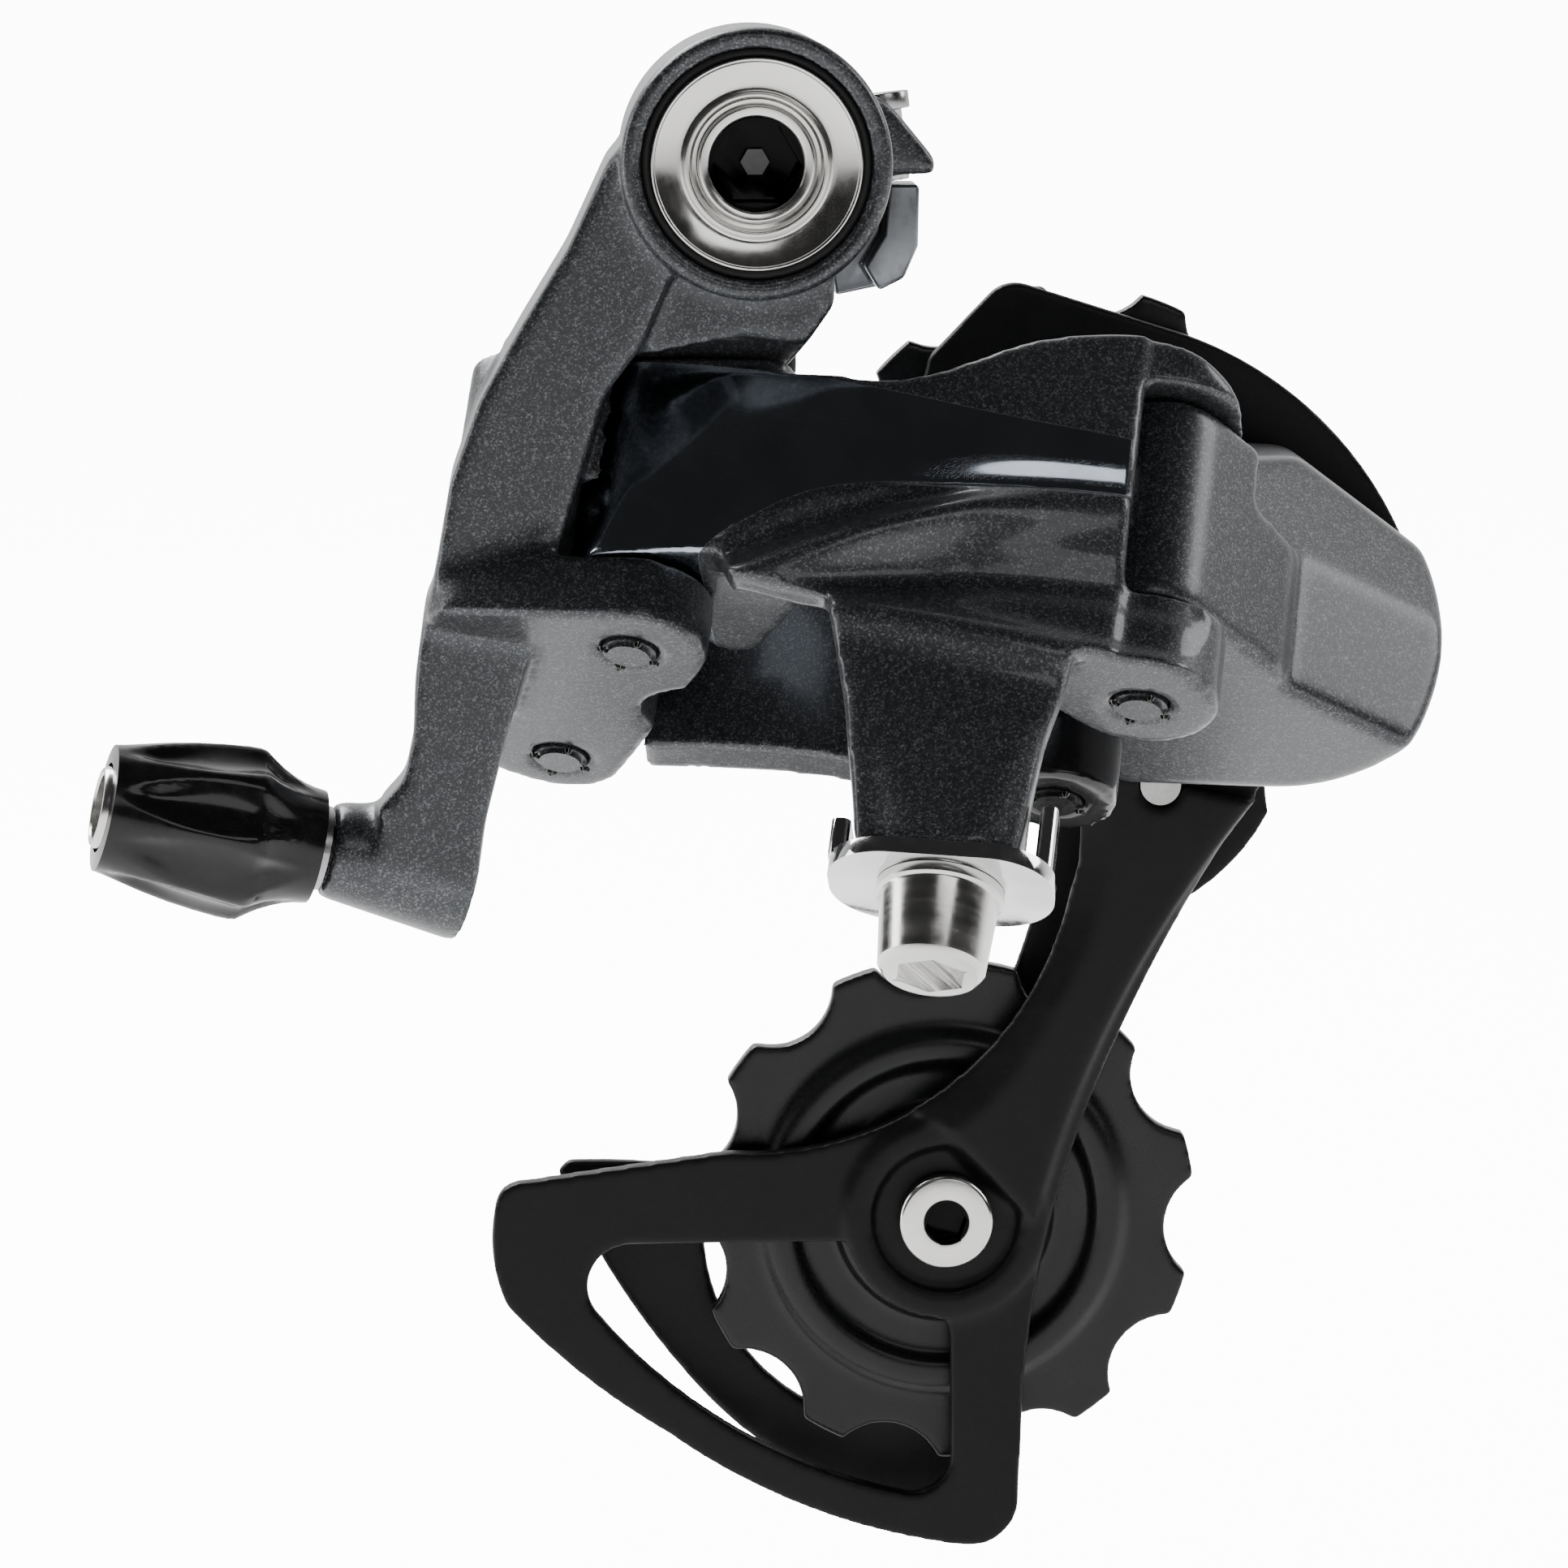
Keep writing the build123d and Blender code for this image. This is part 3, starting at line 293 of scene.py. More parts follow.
def link_finish(name, settings):
    """Flake paint with the polished dark panel between its two borders."""
    finish = Finish(name)
    along = finish.link_coordinate(LINK_DIR)
    up = finish.link_coordinate(PIN_DIR)
    low = finish.curve(along, PANEL_LOW, -6, 46, 30)
    high = finish.curve(along, PANEL_HIGH, -6, 46, 30)
    inside = finish.maths("MULTIPLY", finish.spread(finish.maths("SUBTRACT", up, low), 0, 0.12),
                          finish.spread(finish.maths("SUBTRACT", high, up), 0, 0.12))
    inside = finish.maths("MULTIPLY", inside, finish.spread(along, 38.45, 38.3))
    colour, roughness, normal = paint_layer(finish, settings)
    depth = finish.noise(0.004, 2.0)
    panel = finish.mixed(depth, tuple(settings.panel_color),
                         tuple(c * 1.8 for c in settings.panel_color[:3]) + (1,))
    colour = finish.mixed(inside, colour, panel)
    roughness = finish.maths("MULTIPLY_ADD", inside,
                             finish.maths("SUBTRACT", 0.10, roughness), roughness)
    metallic = finish.spread(inside, 0, 1, 0.62, 1.0)
    return finish.shade(Base_Color=colour, Roughness=roughness, Normal=normal, Metallic=metallic,
                        Coat_Weight=0.35, Coat_Roughness=0.10)


def inner_link_finish(name, settings):
    """Flake paint that turns polished black on the fork at the cage end."""
    finish = Finish(name)
    fork = finish.spread(finish.link_coordinate(LINK_DIR), 24.5, 26.0)
    colour, roughness, normal = paint_layer(finish, settings)
    colour = finish.mixed(fork, colour, (0.008, 0.008, 0.009, 1))
    roughness = finish.maths("MULTIPLY_ADD", fork,
                             finish.maths("SUBTRACT", 0.14, roughness), roughness)
    metallic = finish.spread(fork, 0, 1, 0.6, 0.1)
    return finish.shade(Base_Color=colour, Roughness=roughness, Normal=normal, Metallic=metallic,
                        Coat_Weight=0.3, Coat_Roughness=0.12)


def turned_steel(name, settings, origin, axis, roughness=0.22, shade=1.0):
    """Steel with fine turning marks round an axis."""
    finish = Finish(name)
    radius = finish.distance_from_axis(origin, axis)
    rings = finish.add("CombineXYZ", {0: radius}).outputs[0]
    marks = finish.noise(0.00009, 4.0, 0.7, place=rings)
    smears = finish.noise(0.0021, 3.0, 0.6)
    colour = finish.mixed(finish.spread(marks, 0.35, 0.65),
                          tuple(c * shade * 0.86 for c in settings.steel_color[:3]) + (1,),
                          tuple(c * shade for c in settings.steel_color[:3]) + (1,))
    rough = finish.maths("ADD", finish.spread(marks, 0.3, 0.7, -0.05, 0.06),
                         finish.spread(smears, 0.3, 0.7, roughness - 0.04, roughness + 0.06))
    return finish.shade(Base_Color=colour, Roughness=rough, Metallic=1.0,
                        Normal=finish.bump(marks, 0.18, 0.00001))


def steel_with_painted_socket_shade(name, settings, origin, axis, socket_radius):
    """Turned steel whose hexagon socket is painted black inside: painted shade in the recess."""
    material = turned_steel(name, settings, origin, axis, 0.16)
    finish = Finish.reopened(material)
    radius = finish.maths("DIVIDE", finish.distance_from_axis(origin, axis), MM)
    open_face = finish.spread(radius, socket_radius - 0.05, socket_radius + 0.05)
    base = finish.shader.inputs["Base Color"].links[0].from_socket
    # Everything inside the socket's radius is painted near-black: painted shade in the hexagon
    # socket, not the steel's own colour.
    return finish.shade(Base_Color=finish.mixed(open_face, (0.006, 0.006, 0.006, 1), base))


def plain_metal(name, colour, roughness, grain=0.0004, bump=0.1, metallic=1.0, gloss=0.5):
    """Metal with a faint grain and uneven gloss."""
    finish = Finish(name)
    fine = finish.noise(grain, 4.0, 0.6)
    wide = finish.noise(grain * 14, 2.0)
    tint = finish.mixed(finish.spread(wide, 0.35, 0.65), tuple(c * 0.8 for c in colour) + (1,),
                        tuple(min(1, c * 1.15) for c in colour) + (1,))
    rough = finish.maths("ADD", finish.spread(fine, 0.3, 0.7, -0.06, 0.07),
                         finish.spread(wide, 0.3, 0.7, roughness - 0.03, roughness + 0.04))
    return finish.shade(Base_Color=tint, Roughness=rough, Metallic=metallic,
                        Specular_IOR_Level=gloss, Normal=finish.bump(fine, bump, 0.00003))


def moulded(name, colour, roughness, grain=0.00035, bump=0.12):
    """Moulded resin: a fine skin texture and slightly uneven gloss."""
    finish = Finish(name)
    skin = finish.noise(grain, 5.0, 0.65)
    wide = finish.noise(0.006, 2.0)
    tint = finish.mixed(finish.spread(skin, 0.3, 0.7), tuple(c * 0.8 for c in colour) + (1,),
                        tuple(c * 1.5 for c in colour) + (1,))
    rough = finish.maths("ADD", finish.spread(skin, 0.3, 0.7, -0.04, 0.05),
                         finish.spread(wide, 0.3, 0.7, roughness - 0.03, roughness + 0.05))
    return finish.shade(Base_Color=tint, Roughness=rough, Metallic=0.0, Specular_IOR_Level=0.28,
                        Normal=finish.bump(skin, bump, 0.00004))


def shared(name, make, *arguments, **options):
    """The material of that name, made the first time it is asked for."""
    return bpy.data.materials.get(name) or make(name, *arguments, **options)


def small_steel():
    return shared("Small steel", plain_metal, (0.42, 0.42, 0.41), 0.25)


def spring_wire():
    return shared("Spring wire", plain_metal, (0.30, 0.30, 0.31), 0.28)


def bearing_bronze():
    return shared("Bearing bronze", plain_metal, (0.42, 0.28, 0.12), 0.3)


def seal_rubber():
    return shared("Seal rubber", moulded, (0.006, 0.006, 0.006), 0.55)


def dark_paint(settings):
    return shared("Dark flake paint", flake_paint, settings)


# ---------------------------------------------------------------- modelling

def local_to_row(origin, axis, turn=0.0):
    """From a part's own millimetres, z along its axis, to the row frame in metres."""
    axis = Vector(axis).normalized()
    return (Matrix.Scale(MM, 4) @ Matrix.Translation(origin)
            @ axis.to_track_quat("Z", "Y").to_matrix().to_4x4() @ Matrix.Rotation(turn, 4, "Z"))


def spun(profile, steps):
    """Surface swept round the z axis by a profile of (radius, distance) points."""
    bm = bmesh.new()
    verts = [bm.verts.new((r, 0, z)) for r, z in profile]
    edges = [bm.edges.new(pair) for pair in zip(verts, verts[1:])]
    bmesh.ops.spin(bm, geom=verts + edges, cent=(0, 0, 0), axis=(0, 0, 1), angle=2 * pi,
                   steps=steps, use_merge=True)
    bmesh.ops.remove_doubles(bm, verts=bm.verts, dist=0.0005)
    return bm


def revolved(profile, steps=96):
    """Closed turned part: its profile starts and ends on the axis or at the same point."""
    bm = spun(profile, steps)
    bmesh.ops.recalc_face_normals(bm, faces=bm.faces)
    return bm


def smooth(bm, verts, rounds=1):
    for _ in range(rounds):
        bmesh.ops.smooth_vert(bm, verts=verts, factor=0.5, use_axis_x=True, use_axis_y=True,
                              use_axis_z=True)


def break_edges(bm, width, segments=2, above=28):
    """Bevels the edges that turn by more than an angle."""
    edges = [e for e in bm.edges if len(e.link_faces) == 2
             and e.calc_face_angle(0) > radians(above)]
    bmesh.ops.bevel(bm, geom=edges, offset=width, offset_type="OFFSET", segments=segments,
                    profile=0.5, affect="EDGES", clamp_overlap=True, material=-1)


def socket_screw(profile, across_flats, depth, steps=96, turn=0.0, edge=0.1):
    """Screw or bolt: profile runs from the head's face rim to the tip, with a hexagon socket."""
    bm = spun(profile, steps)
    face_height = profile[0][1]
    rim = [e for e in bm.edges if e.is_boundary]
    hexagon = bmesh.ops.create_circle(bm, cap_ends=False, segments=6,
                                      radius=across_flats / sqrt(3))["verts"]
    bmesh.ops.rotate(bm, verts=hexagon, cent=(0, 0, 0), matrix=Matrix.Rotation(turn, 3, "Z"))
    bmesh.ops.translate(bm, verts=hexagon, vec=(0, 0, face_height))
    sides = list({e for v in hexagon for e in v.link_edges})
    bmesh.ops.subdivide_edges(bm, edges=sides, cuts=steps // 6 - 1)
    sides = [e for e in bm.edges if e.is_wire]
    bmesh.ops.bridge_loops(bm, edges=rim + sides)
    walls = bmesh.ops.extrude_edge_only(bm, edges=[e for e in bm.edges if e.is_boundary])
    floor_verts = [g for g in walls["geom"] if isinstance(g, bmesh.types.BMVert)]
    inward = 1 if profile[-1][1] > face_height else -1
    bmesh.ops.translate(bm, verts=floor_verts, vec=(0, 0, depth * inward))
    bmesh.ops.edgeloop_fill(bm, edges=[e for e in bm.edges if e.is_boundary])
    bmesh.ops.recalc_face_normals(bm, faces=bm.faces)
    break_edges(bm, edge)
    return bm


def finished(name, bm, material, body, replaced=(), matrix=None, sharp=40):
    """Turns a bmesh into a piece that rides on a body."""
    if matrix is not None:
        bmesh.ops.transform(bm, matrix=matrix, verts=bm.verts)
    mesh = bpy.data.meshes.new(name)
    bm.to_mesh(mesh)
    bm.free()
    for polygon in mesh.polygons:
        polygon.use_smooth = True
    mesh.set_sharp_from_angle(angle=radians(sharp))
    piece = bpy.data.objects.new(name, mesh)
    bpy.context.scene.collection.objects.link(piece)
    mesh.materials.append(material)
    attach(piece, body)
    if replaced:
        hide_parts(*replaced)
    return piece


def joined(parts):
    """One bmesh holding all the given ones, each a (bmesh, matrix) pair."""
    whole = bmesh.new()
    for part, matrix in parts:
        bmesh.ops.transform(part, matrix=matrix, verts=part.verts)
        mesh = bpy.data.meshes.new("part")
        part.to_mesh(mesh)
        part.free()
        whole.from_mesh(mesh)
        bpy.data.meshes.remove(mesh)
    return whole


def node_copy(node):
    """Merged bmesh copy of a CAD node."""
    bm = bmesh.new()
    bm.from_mesh(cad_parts[node].data)
    bmesh.ops.remove_doubles(bm, verts=bm.verts, dist=1e-6)
    return bm


def crisp_copy(node, width, segments=2):
    """Copy of a CAD node with its flat faces made whole and its edges bevelled."""
    bm = node_copy(node)
    bmesh.ops.dissolve_limit(bm, angle_limit=radians(0.8), verts=bm.verts, edges=bm.edges,
                             use_dissolve_boundaries=False)
    break_edges(bm, width, segments)
    bmesh.ops.triangulate(bm, faces=[f for f in bm.faces if len(f.verts) > 4])
    return bm


def add_prism(bm, outline, front, back):
    """Adds a closed prism to a mesh: an outline of (x, z) between two depths, in millimetres."""
    low = [bm.verts.new((x * MM, front * MM, z * MM)) for x, z in outline]
    high = [bm.verts.new((x * MM, back * MM, z * MM)) for x, z in outline]
    faces = [bm.faces.new(low), bm.faces.new(high)]
    for i, j in zip(range(len(outline)), [*range(1, len(outline)), 0]):
        faces.append(bm.faces.new((low[i], low[j], high[j], high[i])))
    bmesh.ops.recalc_face_normals(bm, faces=faces)


def cast_copy(node, grid, rounds, rounded=None, lip=None):
    """Copy of a CAD node remeshed on a fine grid, with rounded edges and soft inner corners.
    rounded(co) says which points are rounded, and lip is a prism that joins the casting."""
    bm = node_copy(node)
    if lip:
        add_prism(bm, *lip)
    mesh = bpy.data.meshes.new("casting")
    bm.to_mesh(mesh)
    bm.free()
    blank = bpy.data.objects.new("casting", mesh)
    bpy.context.scene.collection.objects.link(blank)
    modifier = blank.modifiers.new("Remesh", "REMESH")
    modifier.mode = "VOXEL"
    modifier.voxel_size = grid
    graph = bpy.context.evaluated_depsgraph_get()
    fine = bpy.data.meshes.new_from_object(blank.evaluated_get(graph))
    bpy.data.objects.remove(blank)
    bpy.data.meshes.remove(mesh)
    bm = bmesh.new()
    bm.from_mesh(fine)
    bpy.data.meshes.remove(fine)
    smooth(bm, bm.verts)
    smooth(bm, [v for v in bm.verts if rounded is None or rounded(v.co)], rounds)
    bmesh.ops.recalc_face_normals(bm, faces=bm.faces)
    return bm


def dress(node, material):
    """Gives a carried-over CAD node its finish."""
    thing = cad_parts[node]
    for holder in thing.material_slots:
        holder.material = material
    if not thing.material_slots:
        thing.data.materials.append(material)


def crimp_marks():
    """Four clusters of small torn marks round a pin's end, where a punch has spread it."""
    marks = []
    for number in range(4):
        around = number * pi / 2 + 0.5
        for length, width, skew, out in ((0.95, 0.20, 0.35, 2.05), (0.75, 0.17, 1.75, 2.1),
                                         (0.5, 0.14, 2.6, 2.35)):
            mark = bmesh.new()
            made = bmesh.ops.create_cube(mark, size=1.0)["verts"]
            bmesh.ops.scale(mark, verts=made, vec=(length, width, 0.34))
            top = [v for v in made if v.co.z < 0]
            bmesh.ops.scale(mark, verts=top, vec=(0.7, 0.25, 1.0))
            break_edges(mark, 0.03, 1)
            marks.append((mark, Matrix.Rotation(around, 4, "Z")
                          @ Matrix.Translation((out, 0, -0.32))
                          @ Matrix.Rotation(skew + number * 0.4, 4, "Z")))
    return joined(marks)


# ---------------------------------------------------------------- pieces

class DERAILLEUR_OT_mount(bpy.types.Operator):
    """Mounting bolt, dished washer, seal and stopper plate"""
    bl_idname = "derailleur.mount"
    bl_label = "Mounting hardware"

    def execute(self, context):
        finishes = context.scene.derailleur_finishes
        steel = shared("Turned steel washer", turned_steel, finishes, Vector(), INBOARD, 0.16)
        head = shared("Bolt steel with painted socket shade", steel_with_painted_socket_shade, finishes, Vector(), INBOARD, 3.75)
        rubber = seal_rubber()
        place = local_to_row(Vector(), INBOARD)
        bolt = socket_screw([(3.62, -25.3), (3.86, -25.62), (4.42, -25.72), (4.56, -25.62),
                             (4.66, -25.2), (4.66, -24.4), (5.2, -24.3), (6.0, -24.3), (6.0, 0),
                             (5.0, 0), (5.0, 7.9), (4.4, 8.5), (0, 8.5)],
                            6.0, 5.4, turn=radians(30), edge=0.06)
        finished("mounting_bolt_socket", bolt, head, "mount", ("mounting_bolt",),
                 place)
        # Dark grey disc at the bottom of the bolt's socket: painted shade on the socket floor.
        centre = revolved([(0, -20.6), (1.15, -20.6), (1.15, -19.95), (0, -19.95)], 6)
        finished("socket_floor_painted_shade", centre, shared("Painted socket floor shade", plain_metal,
                                                     (0.10, 0.10, 0.10), 0.4), "mount",
                 matrix=place, sharp=20)
        washer = revolved([(4.70, -24.4), (8.2, -24.4), (8.32, -25.3), (8.32, -25.84),
                           (8.2, -25.94), (8.06, -25.88), (7.96, -25.74), (6.42, -25.08),
                           (6.0, -25.02), (5.84, -25.1), (5.76, -25.5), (5.62, -25.66),
                           (5.32, -25.66), (5.18, -25.5), (5.08, -25.0), (4.70, -25.0),
                           (4.70, -24.4)], 128)
        break_edges(washer, 0.05)
        finished("dished_washer", washer, steel, "mount", ("mount_washer",), place)
        seal = revolved([(8.36, -24.2), (9.0, -24.2), (9.0, -25.2), (8.8, -25.35), (8.56, -25.35),
                         (8.36, -25.2), (8.36, -24.2)], 96)
        finished("seal_ring", seal, rubber, "mount", ("mount_seal",), place)
        casting = shared("Raw casting", plain_metal, (0.24, 0.25, 0.265), 0.34, 0.0007, 0.35)
        finished("stopper_plate_ear", crisp_copy("stopper_plate", 0.0003, 3), casting, "mount",
                 ("stopper_plate",))
        dress("retaining_ring", steel)
        dress("b_spring", spring_wire())
        return {"FINISHED"}


# A lip carries the arm's edge on in front of the slot for the outer link's stop lobe. The CAD
# node has no lip, so its slot opens through the arm's front. The outline is (x, z).
ARM_FRONT = -24.55
LIP_DEPTH = 1.8
ARM_EDGE = ((-6.6, -8.6), (-9.05, -14.49), (-11.9, -18.2), (-13.86, -24.7), (-15.81, -31.42),
            (-15.4, -33.6), (-19.6, -33.6), (-18.4, -24.7), (-15.4, -16.0), (-10.0, -8.6))
BARREL_REACH = 0.0108
BARREL_BACK = -0.0045


def off_the_barrel(co):
    """Whether a point in metres is clear of the barrel, which stays true."""
    return (co.x ** 2 + co.z ** 2) ** 0.5 > BARREL_REACH or co.y > BARREL_BACK


class DERAILLEUR_OT_upper_knuckle(bpy.types.Operator):
    """Upper knuckle casting with its turned barrel rim, screws and bush"""
    bl_idname = "derailleur.upper_knuckle"
    bl_label = "Upper knuckle"

    def execute(self, context):
        finishes, sizes = context.scene.derailleur_finishes, context.scene.derailleur_sizes
        paint = dark_paint(finishes)
        steel = small_steel()
        casting = cast_copy("b_knuckle", sizes.casting_grid * 1.06, sizes.casting_rounds,
                            off_the_barrel, (ARM_EDGE, ARM_FRONT, ARM_FRONT + LIP_DEPTH))
        finished("upper_knuckle_casting", casting, paint, "upper_knuckle",
                 ("b_knuckle",), sharp=70)
        rim = revolved([(9.08, -22.0), (10.62, -22.0), (10.66, -25.2), (10.56, -25.62),
                        (10.28, -25.92), (10.0, -26.0), (9.5, -26.0), (9.42, -25.9),
                        (9.3, -25.62), (9.12, -25.56), (9.06, -25.4), (9.06, -22.2),
                        (9.08, -22.0)], 128)
        finished("barrel_rim", rim, paint, "upper_knuckle",
                 matrix=local_to_row(Vector(), INBOARD), sharp=60)
        for node in ("limit_screws", "angle_screw"):
            finished(node + "_heads", crisp_copy(node, 0.0001), steel, "upper_knuckle",
                     (node,))
        dress("b_bush", bearing_bronze())
        return {"FINISHED"}


def link_relief(along, inward, up, height):
    """How far the outer link's face stands out at a place, in millimetres."""
    face = eased(-inward, 3.4, 5.2) * eased(along, 1.0, 8.0)
    sweep = along_line(((4, 1.8), (9, 2.6), (14, 4.6), (20, 7.2), (27, 9.6), (38, 11.6)), along)
    lower = along_line(((4, 0.6), (12, 0.4), (20, -0.4), (28, -1.4), (38, -2.4)), along)
    edge = along_line(PANEL_LOW, along)
    first = exp(-((up - sweep) / 2.1) ** 2) * (1 - 0.6 * eased(along, 24, 38))
    second = exp(-((up - lower) / 1.8) ** 2) * eased(along, 4, 14)
    hollow = exp(-((up - (edge + sweep) / 2 - 0.4) / 1.5) ** 2) * (1 - eased(along, 22, 34))
    valley = exp(-((up - (sweep + lower) / 2) / 2.0) ** 2) * eased(along, 14, 24)
    over = up - edge
    lip = 0.35 * eased(-over, -0.1, 0.5)
    under = (1 - eased(over, 0.0, 3.2)) * eased(over, -0.2, 0.1) * eased(along, 16, 34)
    return face * (height * (first + 0.8 * second - 0.4 * hollow - 0.6 * valley) + lip
                   - 0.9 * under)


class DERAILLEUR_OT_outer_link(bpy.types.Operator):
    """Outer link: sculpted casting with its polished panel"""
    bl_idname = "derailleur.outer_link"
    bl_label = "Outer link"

    def execute(self, context):
        finishes, sizes = context.scene.derailleur_finishes, context.scene.derailleur_sizes
        casting = cast_copy("outer_link", sizes.casting_grid, sizes.casting_rounds)
        height = sizes.ridge_height / MM
        for vert in casting.verts:
            rise = link_relief(*link_coordinates(vert.co), height)
            vert.co -= LINK_IN * (rise * MM)
        smooth(casting, casting.verts, 2)
        finished("outer_link_casting", casting, shared("Link paint and panel", link_finish, finishes),
                 "outer_link", ("outer_link",), sharp=75)
        return {"FINISHED"}


class DERAILLEUR_OT_cable_anchor(bpy.types.Operator):
    """Cable anchor: chrome plate with turned-up ears and the tapered bolt"""
    bl_idname = "derailleur.cable_anchor"
    bl_label = "Cable anchor"

    def execute(self, context):
        finishes = context.scene.derailleur_finishes
        chrome = shared("Bright chrome", plain_metal, (0.72, 0.72, 0.73), 0.10, 0.0012, 0.12)
        finished("anchor_clamp_plate", crisp_copy("anchor_plate", 0.00028, 3), chrome,
                 "outer_link", ("anchor_plate",))
        steel = shared("Anchor bolt steel", turned_steel, finishes, ANCHOR_TOP, PIN_DIR, 0.2)
        bolt = socket_screw([(3.35, -8.8), (3.62, -8.76), (3.9, -8.5), (4.16, -8.1), (4.6, -2.6),
                             (4.68, -2.4), (4.92, -2.2), (4.92, -1.45), (2.46, -1.45),
                             (2.46, 8.5), (0, 8.5)], 5.0, 4.2, turn=radians(12), edge=0.1)
        finished("anchor_bolt_head", bolt, steel, "outer_link", ("anchor_bolt",),
                 local_to_row(ANCHOR_TOP, PIN_DIR))
        return {"FINISHED"}


class DERAILLEUR_OT_inner_link(bpy.types.Operator):
    """Inner link casting"""
    bl_idname = "derailleur.inner_link"
    bl_label = "Inner link"

    def execute(self, context):
        finishes, sizes = context.scene.derailleur_finishes, context.scene.derailleur_sizes
        casting = cast_copy("inner_link", sizes.casting_grid, sizes.casting_rounds // 2)
        finished("inner_link_casting", casting,
                 shared("Inner link paint and black fork", inner_link_finish, finishes),
                 "inner_link", ("inner_link",), sharp=70)
        return {"FINISHED"}


class DERAILLEUR_OT_lower_knuckle(bpy.types.Operator):
    """Lower knuckle casting with its seal and bush"""
    bl_idname = "derailleur.lower_knuckle"
    bl_label = "Lower knuckle"

    def execute(self, context):
        finishes, sizes = context.scene.derailleur_finishes, context.scene.derailleur_sizes
        paint = dark_paint(finishes)
        casting = cast_copy("p_knuckle", sizes.casting_grid, sizes.casting_rounds * 2)
        finished("lower_knuckle_casting", casting, paint, "lower_knuckle",
                 ("p_knuckle",), sharp=70)
        dress("p_bush", bearing_bronze())
        dress("p_seal", seal_rubber())
        dress("p_spring", spring_wire())
        return {"FINISHED"}


class DERAILLEUR_OT_link_pins(bpy.types.Operator):
    """Link pins, the punch marks round their ends, and the return spring"""
    bl_idname = "derailleur.link_pins"
    bl_label = "Link pins"

    def execute(self, context):
        finishes = context.scene.derailleur_finishes
        paint = dark_paint(finishes)
        torn = shared("Torn pin edge", plain_metal, (0.10, 0.10, 0.095), 0.22, 0.00025, 0.5)
        black = shared("Polished black alloy", plain_metal, (0.012, 0.012, 0.013), 0.16, 0.0005,
                       0.06, metallic=0.3)
        for name, body, feet in (
                ("upper", "upper_knuckle", ((OUTER_B_PIN, 0), (INNER_B_PIN, 0))),
                ("link", "outer_link", ((OUTER_P_PIN, -1.8),)),
                ("inner", "inner_link", ((INNER_P_PIN, -0.9),))):
            places = [local_to_row(foot + PIN_DIR * low, PIN_DIR) for foot, low in feet]
            finished("crimp_marks_" + name, joined([(crimp_marks(), m) for m in places]), torn,
                     body, sharp=30)
        for node in ("link_pin_b_outer", "link_pin_b_inner", "link_pin_p_outer",
                     "link_pin_p_inner"):
            dress(node, black if node == "link_pin_p_inner" else paint)
        dress("return_spring", spring_wire())
        return {"FINISHED"}


def knob_surface(flutes, depth):
    """Adjuster knob: flared neck, swelling body with leaf-shaped hollows, open bore."""
    bm = revolved([(3.62, 0.8), (4.55, 0.8), (4.62, 1.2), (4.7, 1.8), (4.9, 2.6), (5.25, 3.5),
                   (5.75, 4.5), (6.35, 5.4), (6.85, 6.1), (6.95, 6.6), (6.93, 7.6), (6.86, 8.6),
                   (6.76, 9.6), (6.62, 10.6), (6.46, 11.6), (6.28, 12.6), (6.08, 13.6),
                   (5.86, 14.6), (5.62, 15.6), (5.38, 16.6), (5.2, 17.4), (5.1, 18.0),
                   (3.62, 18.1), (3.62, 12.0), (3.62, 6.0), (3.62, 0.8)], 128)
    for vert in bm.verts:
        radius, z = vert.co.xy.length, vert.co.z
        if radius < 4.0:
            continue
        angle = Vector((1, 0)).angle_signed(vert.co.xy, 0.0)
        phase = (angle * flutes / (2 * pi)) % 1.0 - 0.5
        width = 0.46 * sin(pi * min(1.0, max(0.0, (z - 2.2) / 15.2))) ** 0.7
        if width > 0.02 and abs(phase) < width:
            leaf = 1 - (phase / width) ** 2
            scale = 1 - depth * leaf * eased(z, 2.2, 5.6) * (1 - eased(z, 14.0, 17.4)) / radius
            vert.co.x *= scale
            vert.co.y *= scale
    return bm


class DERAILLEUR_OT_cable_adjuster(bpy.types.Operator):
    """Cable adjuster: fluted knob, steel stem with the housing seat, click ring"""
    bl_idname = "derailleur.cable_adjuster"
    bl_label = "Cable adjuster"

    def execute(self, context):
        finishes, sizes = context.scene.derailleur_finishes, context.scene.derailleur_sizes
        place = local_to_row(ADJUSTER_START, ADJUSTER_DIR)
        gloss = shared("Glossy black resin", moulded, (0.006, 0.006, 0.0065), 0.13, 0.0012, 0.03)
        steel = shared("Adjuster steel", turned_steel, finishes, ADJUSTER_START, ADJUSTER_DIR, 0.2)
        knob = knob_surface(sizes.knob_flutes, sizes.knob_flute_depth / MM)
        finished("fluted_knob", knob, gloss, "cable_adjuster", ("adjuster_knob",),
                 place, sharp=32)
        stem = revolved([(0.9, -8.0), (2.3, -8.0), (2.5, -7.6), (2.5, 9.6), (3.3, 9.6),
                         (3.3, 18.3), (3.1, 18.6), (2.75, 18.6), (2.6, 18.45), (2.6, 10.6),
                         (0.9, 10.6), (0.9, -8.0)], 64)
        finished("housing_seat_stem", stem, steel, "cable_adjuster",
                 ("adjuster_stem",), place)
        dress("adjuster_click_ring", spring_wire())
        return {"FINISHED"}


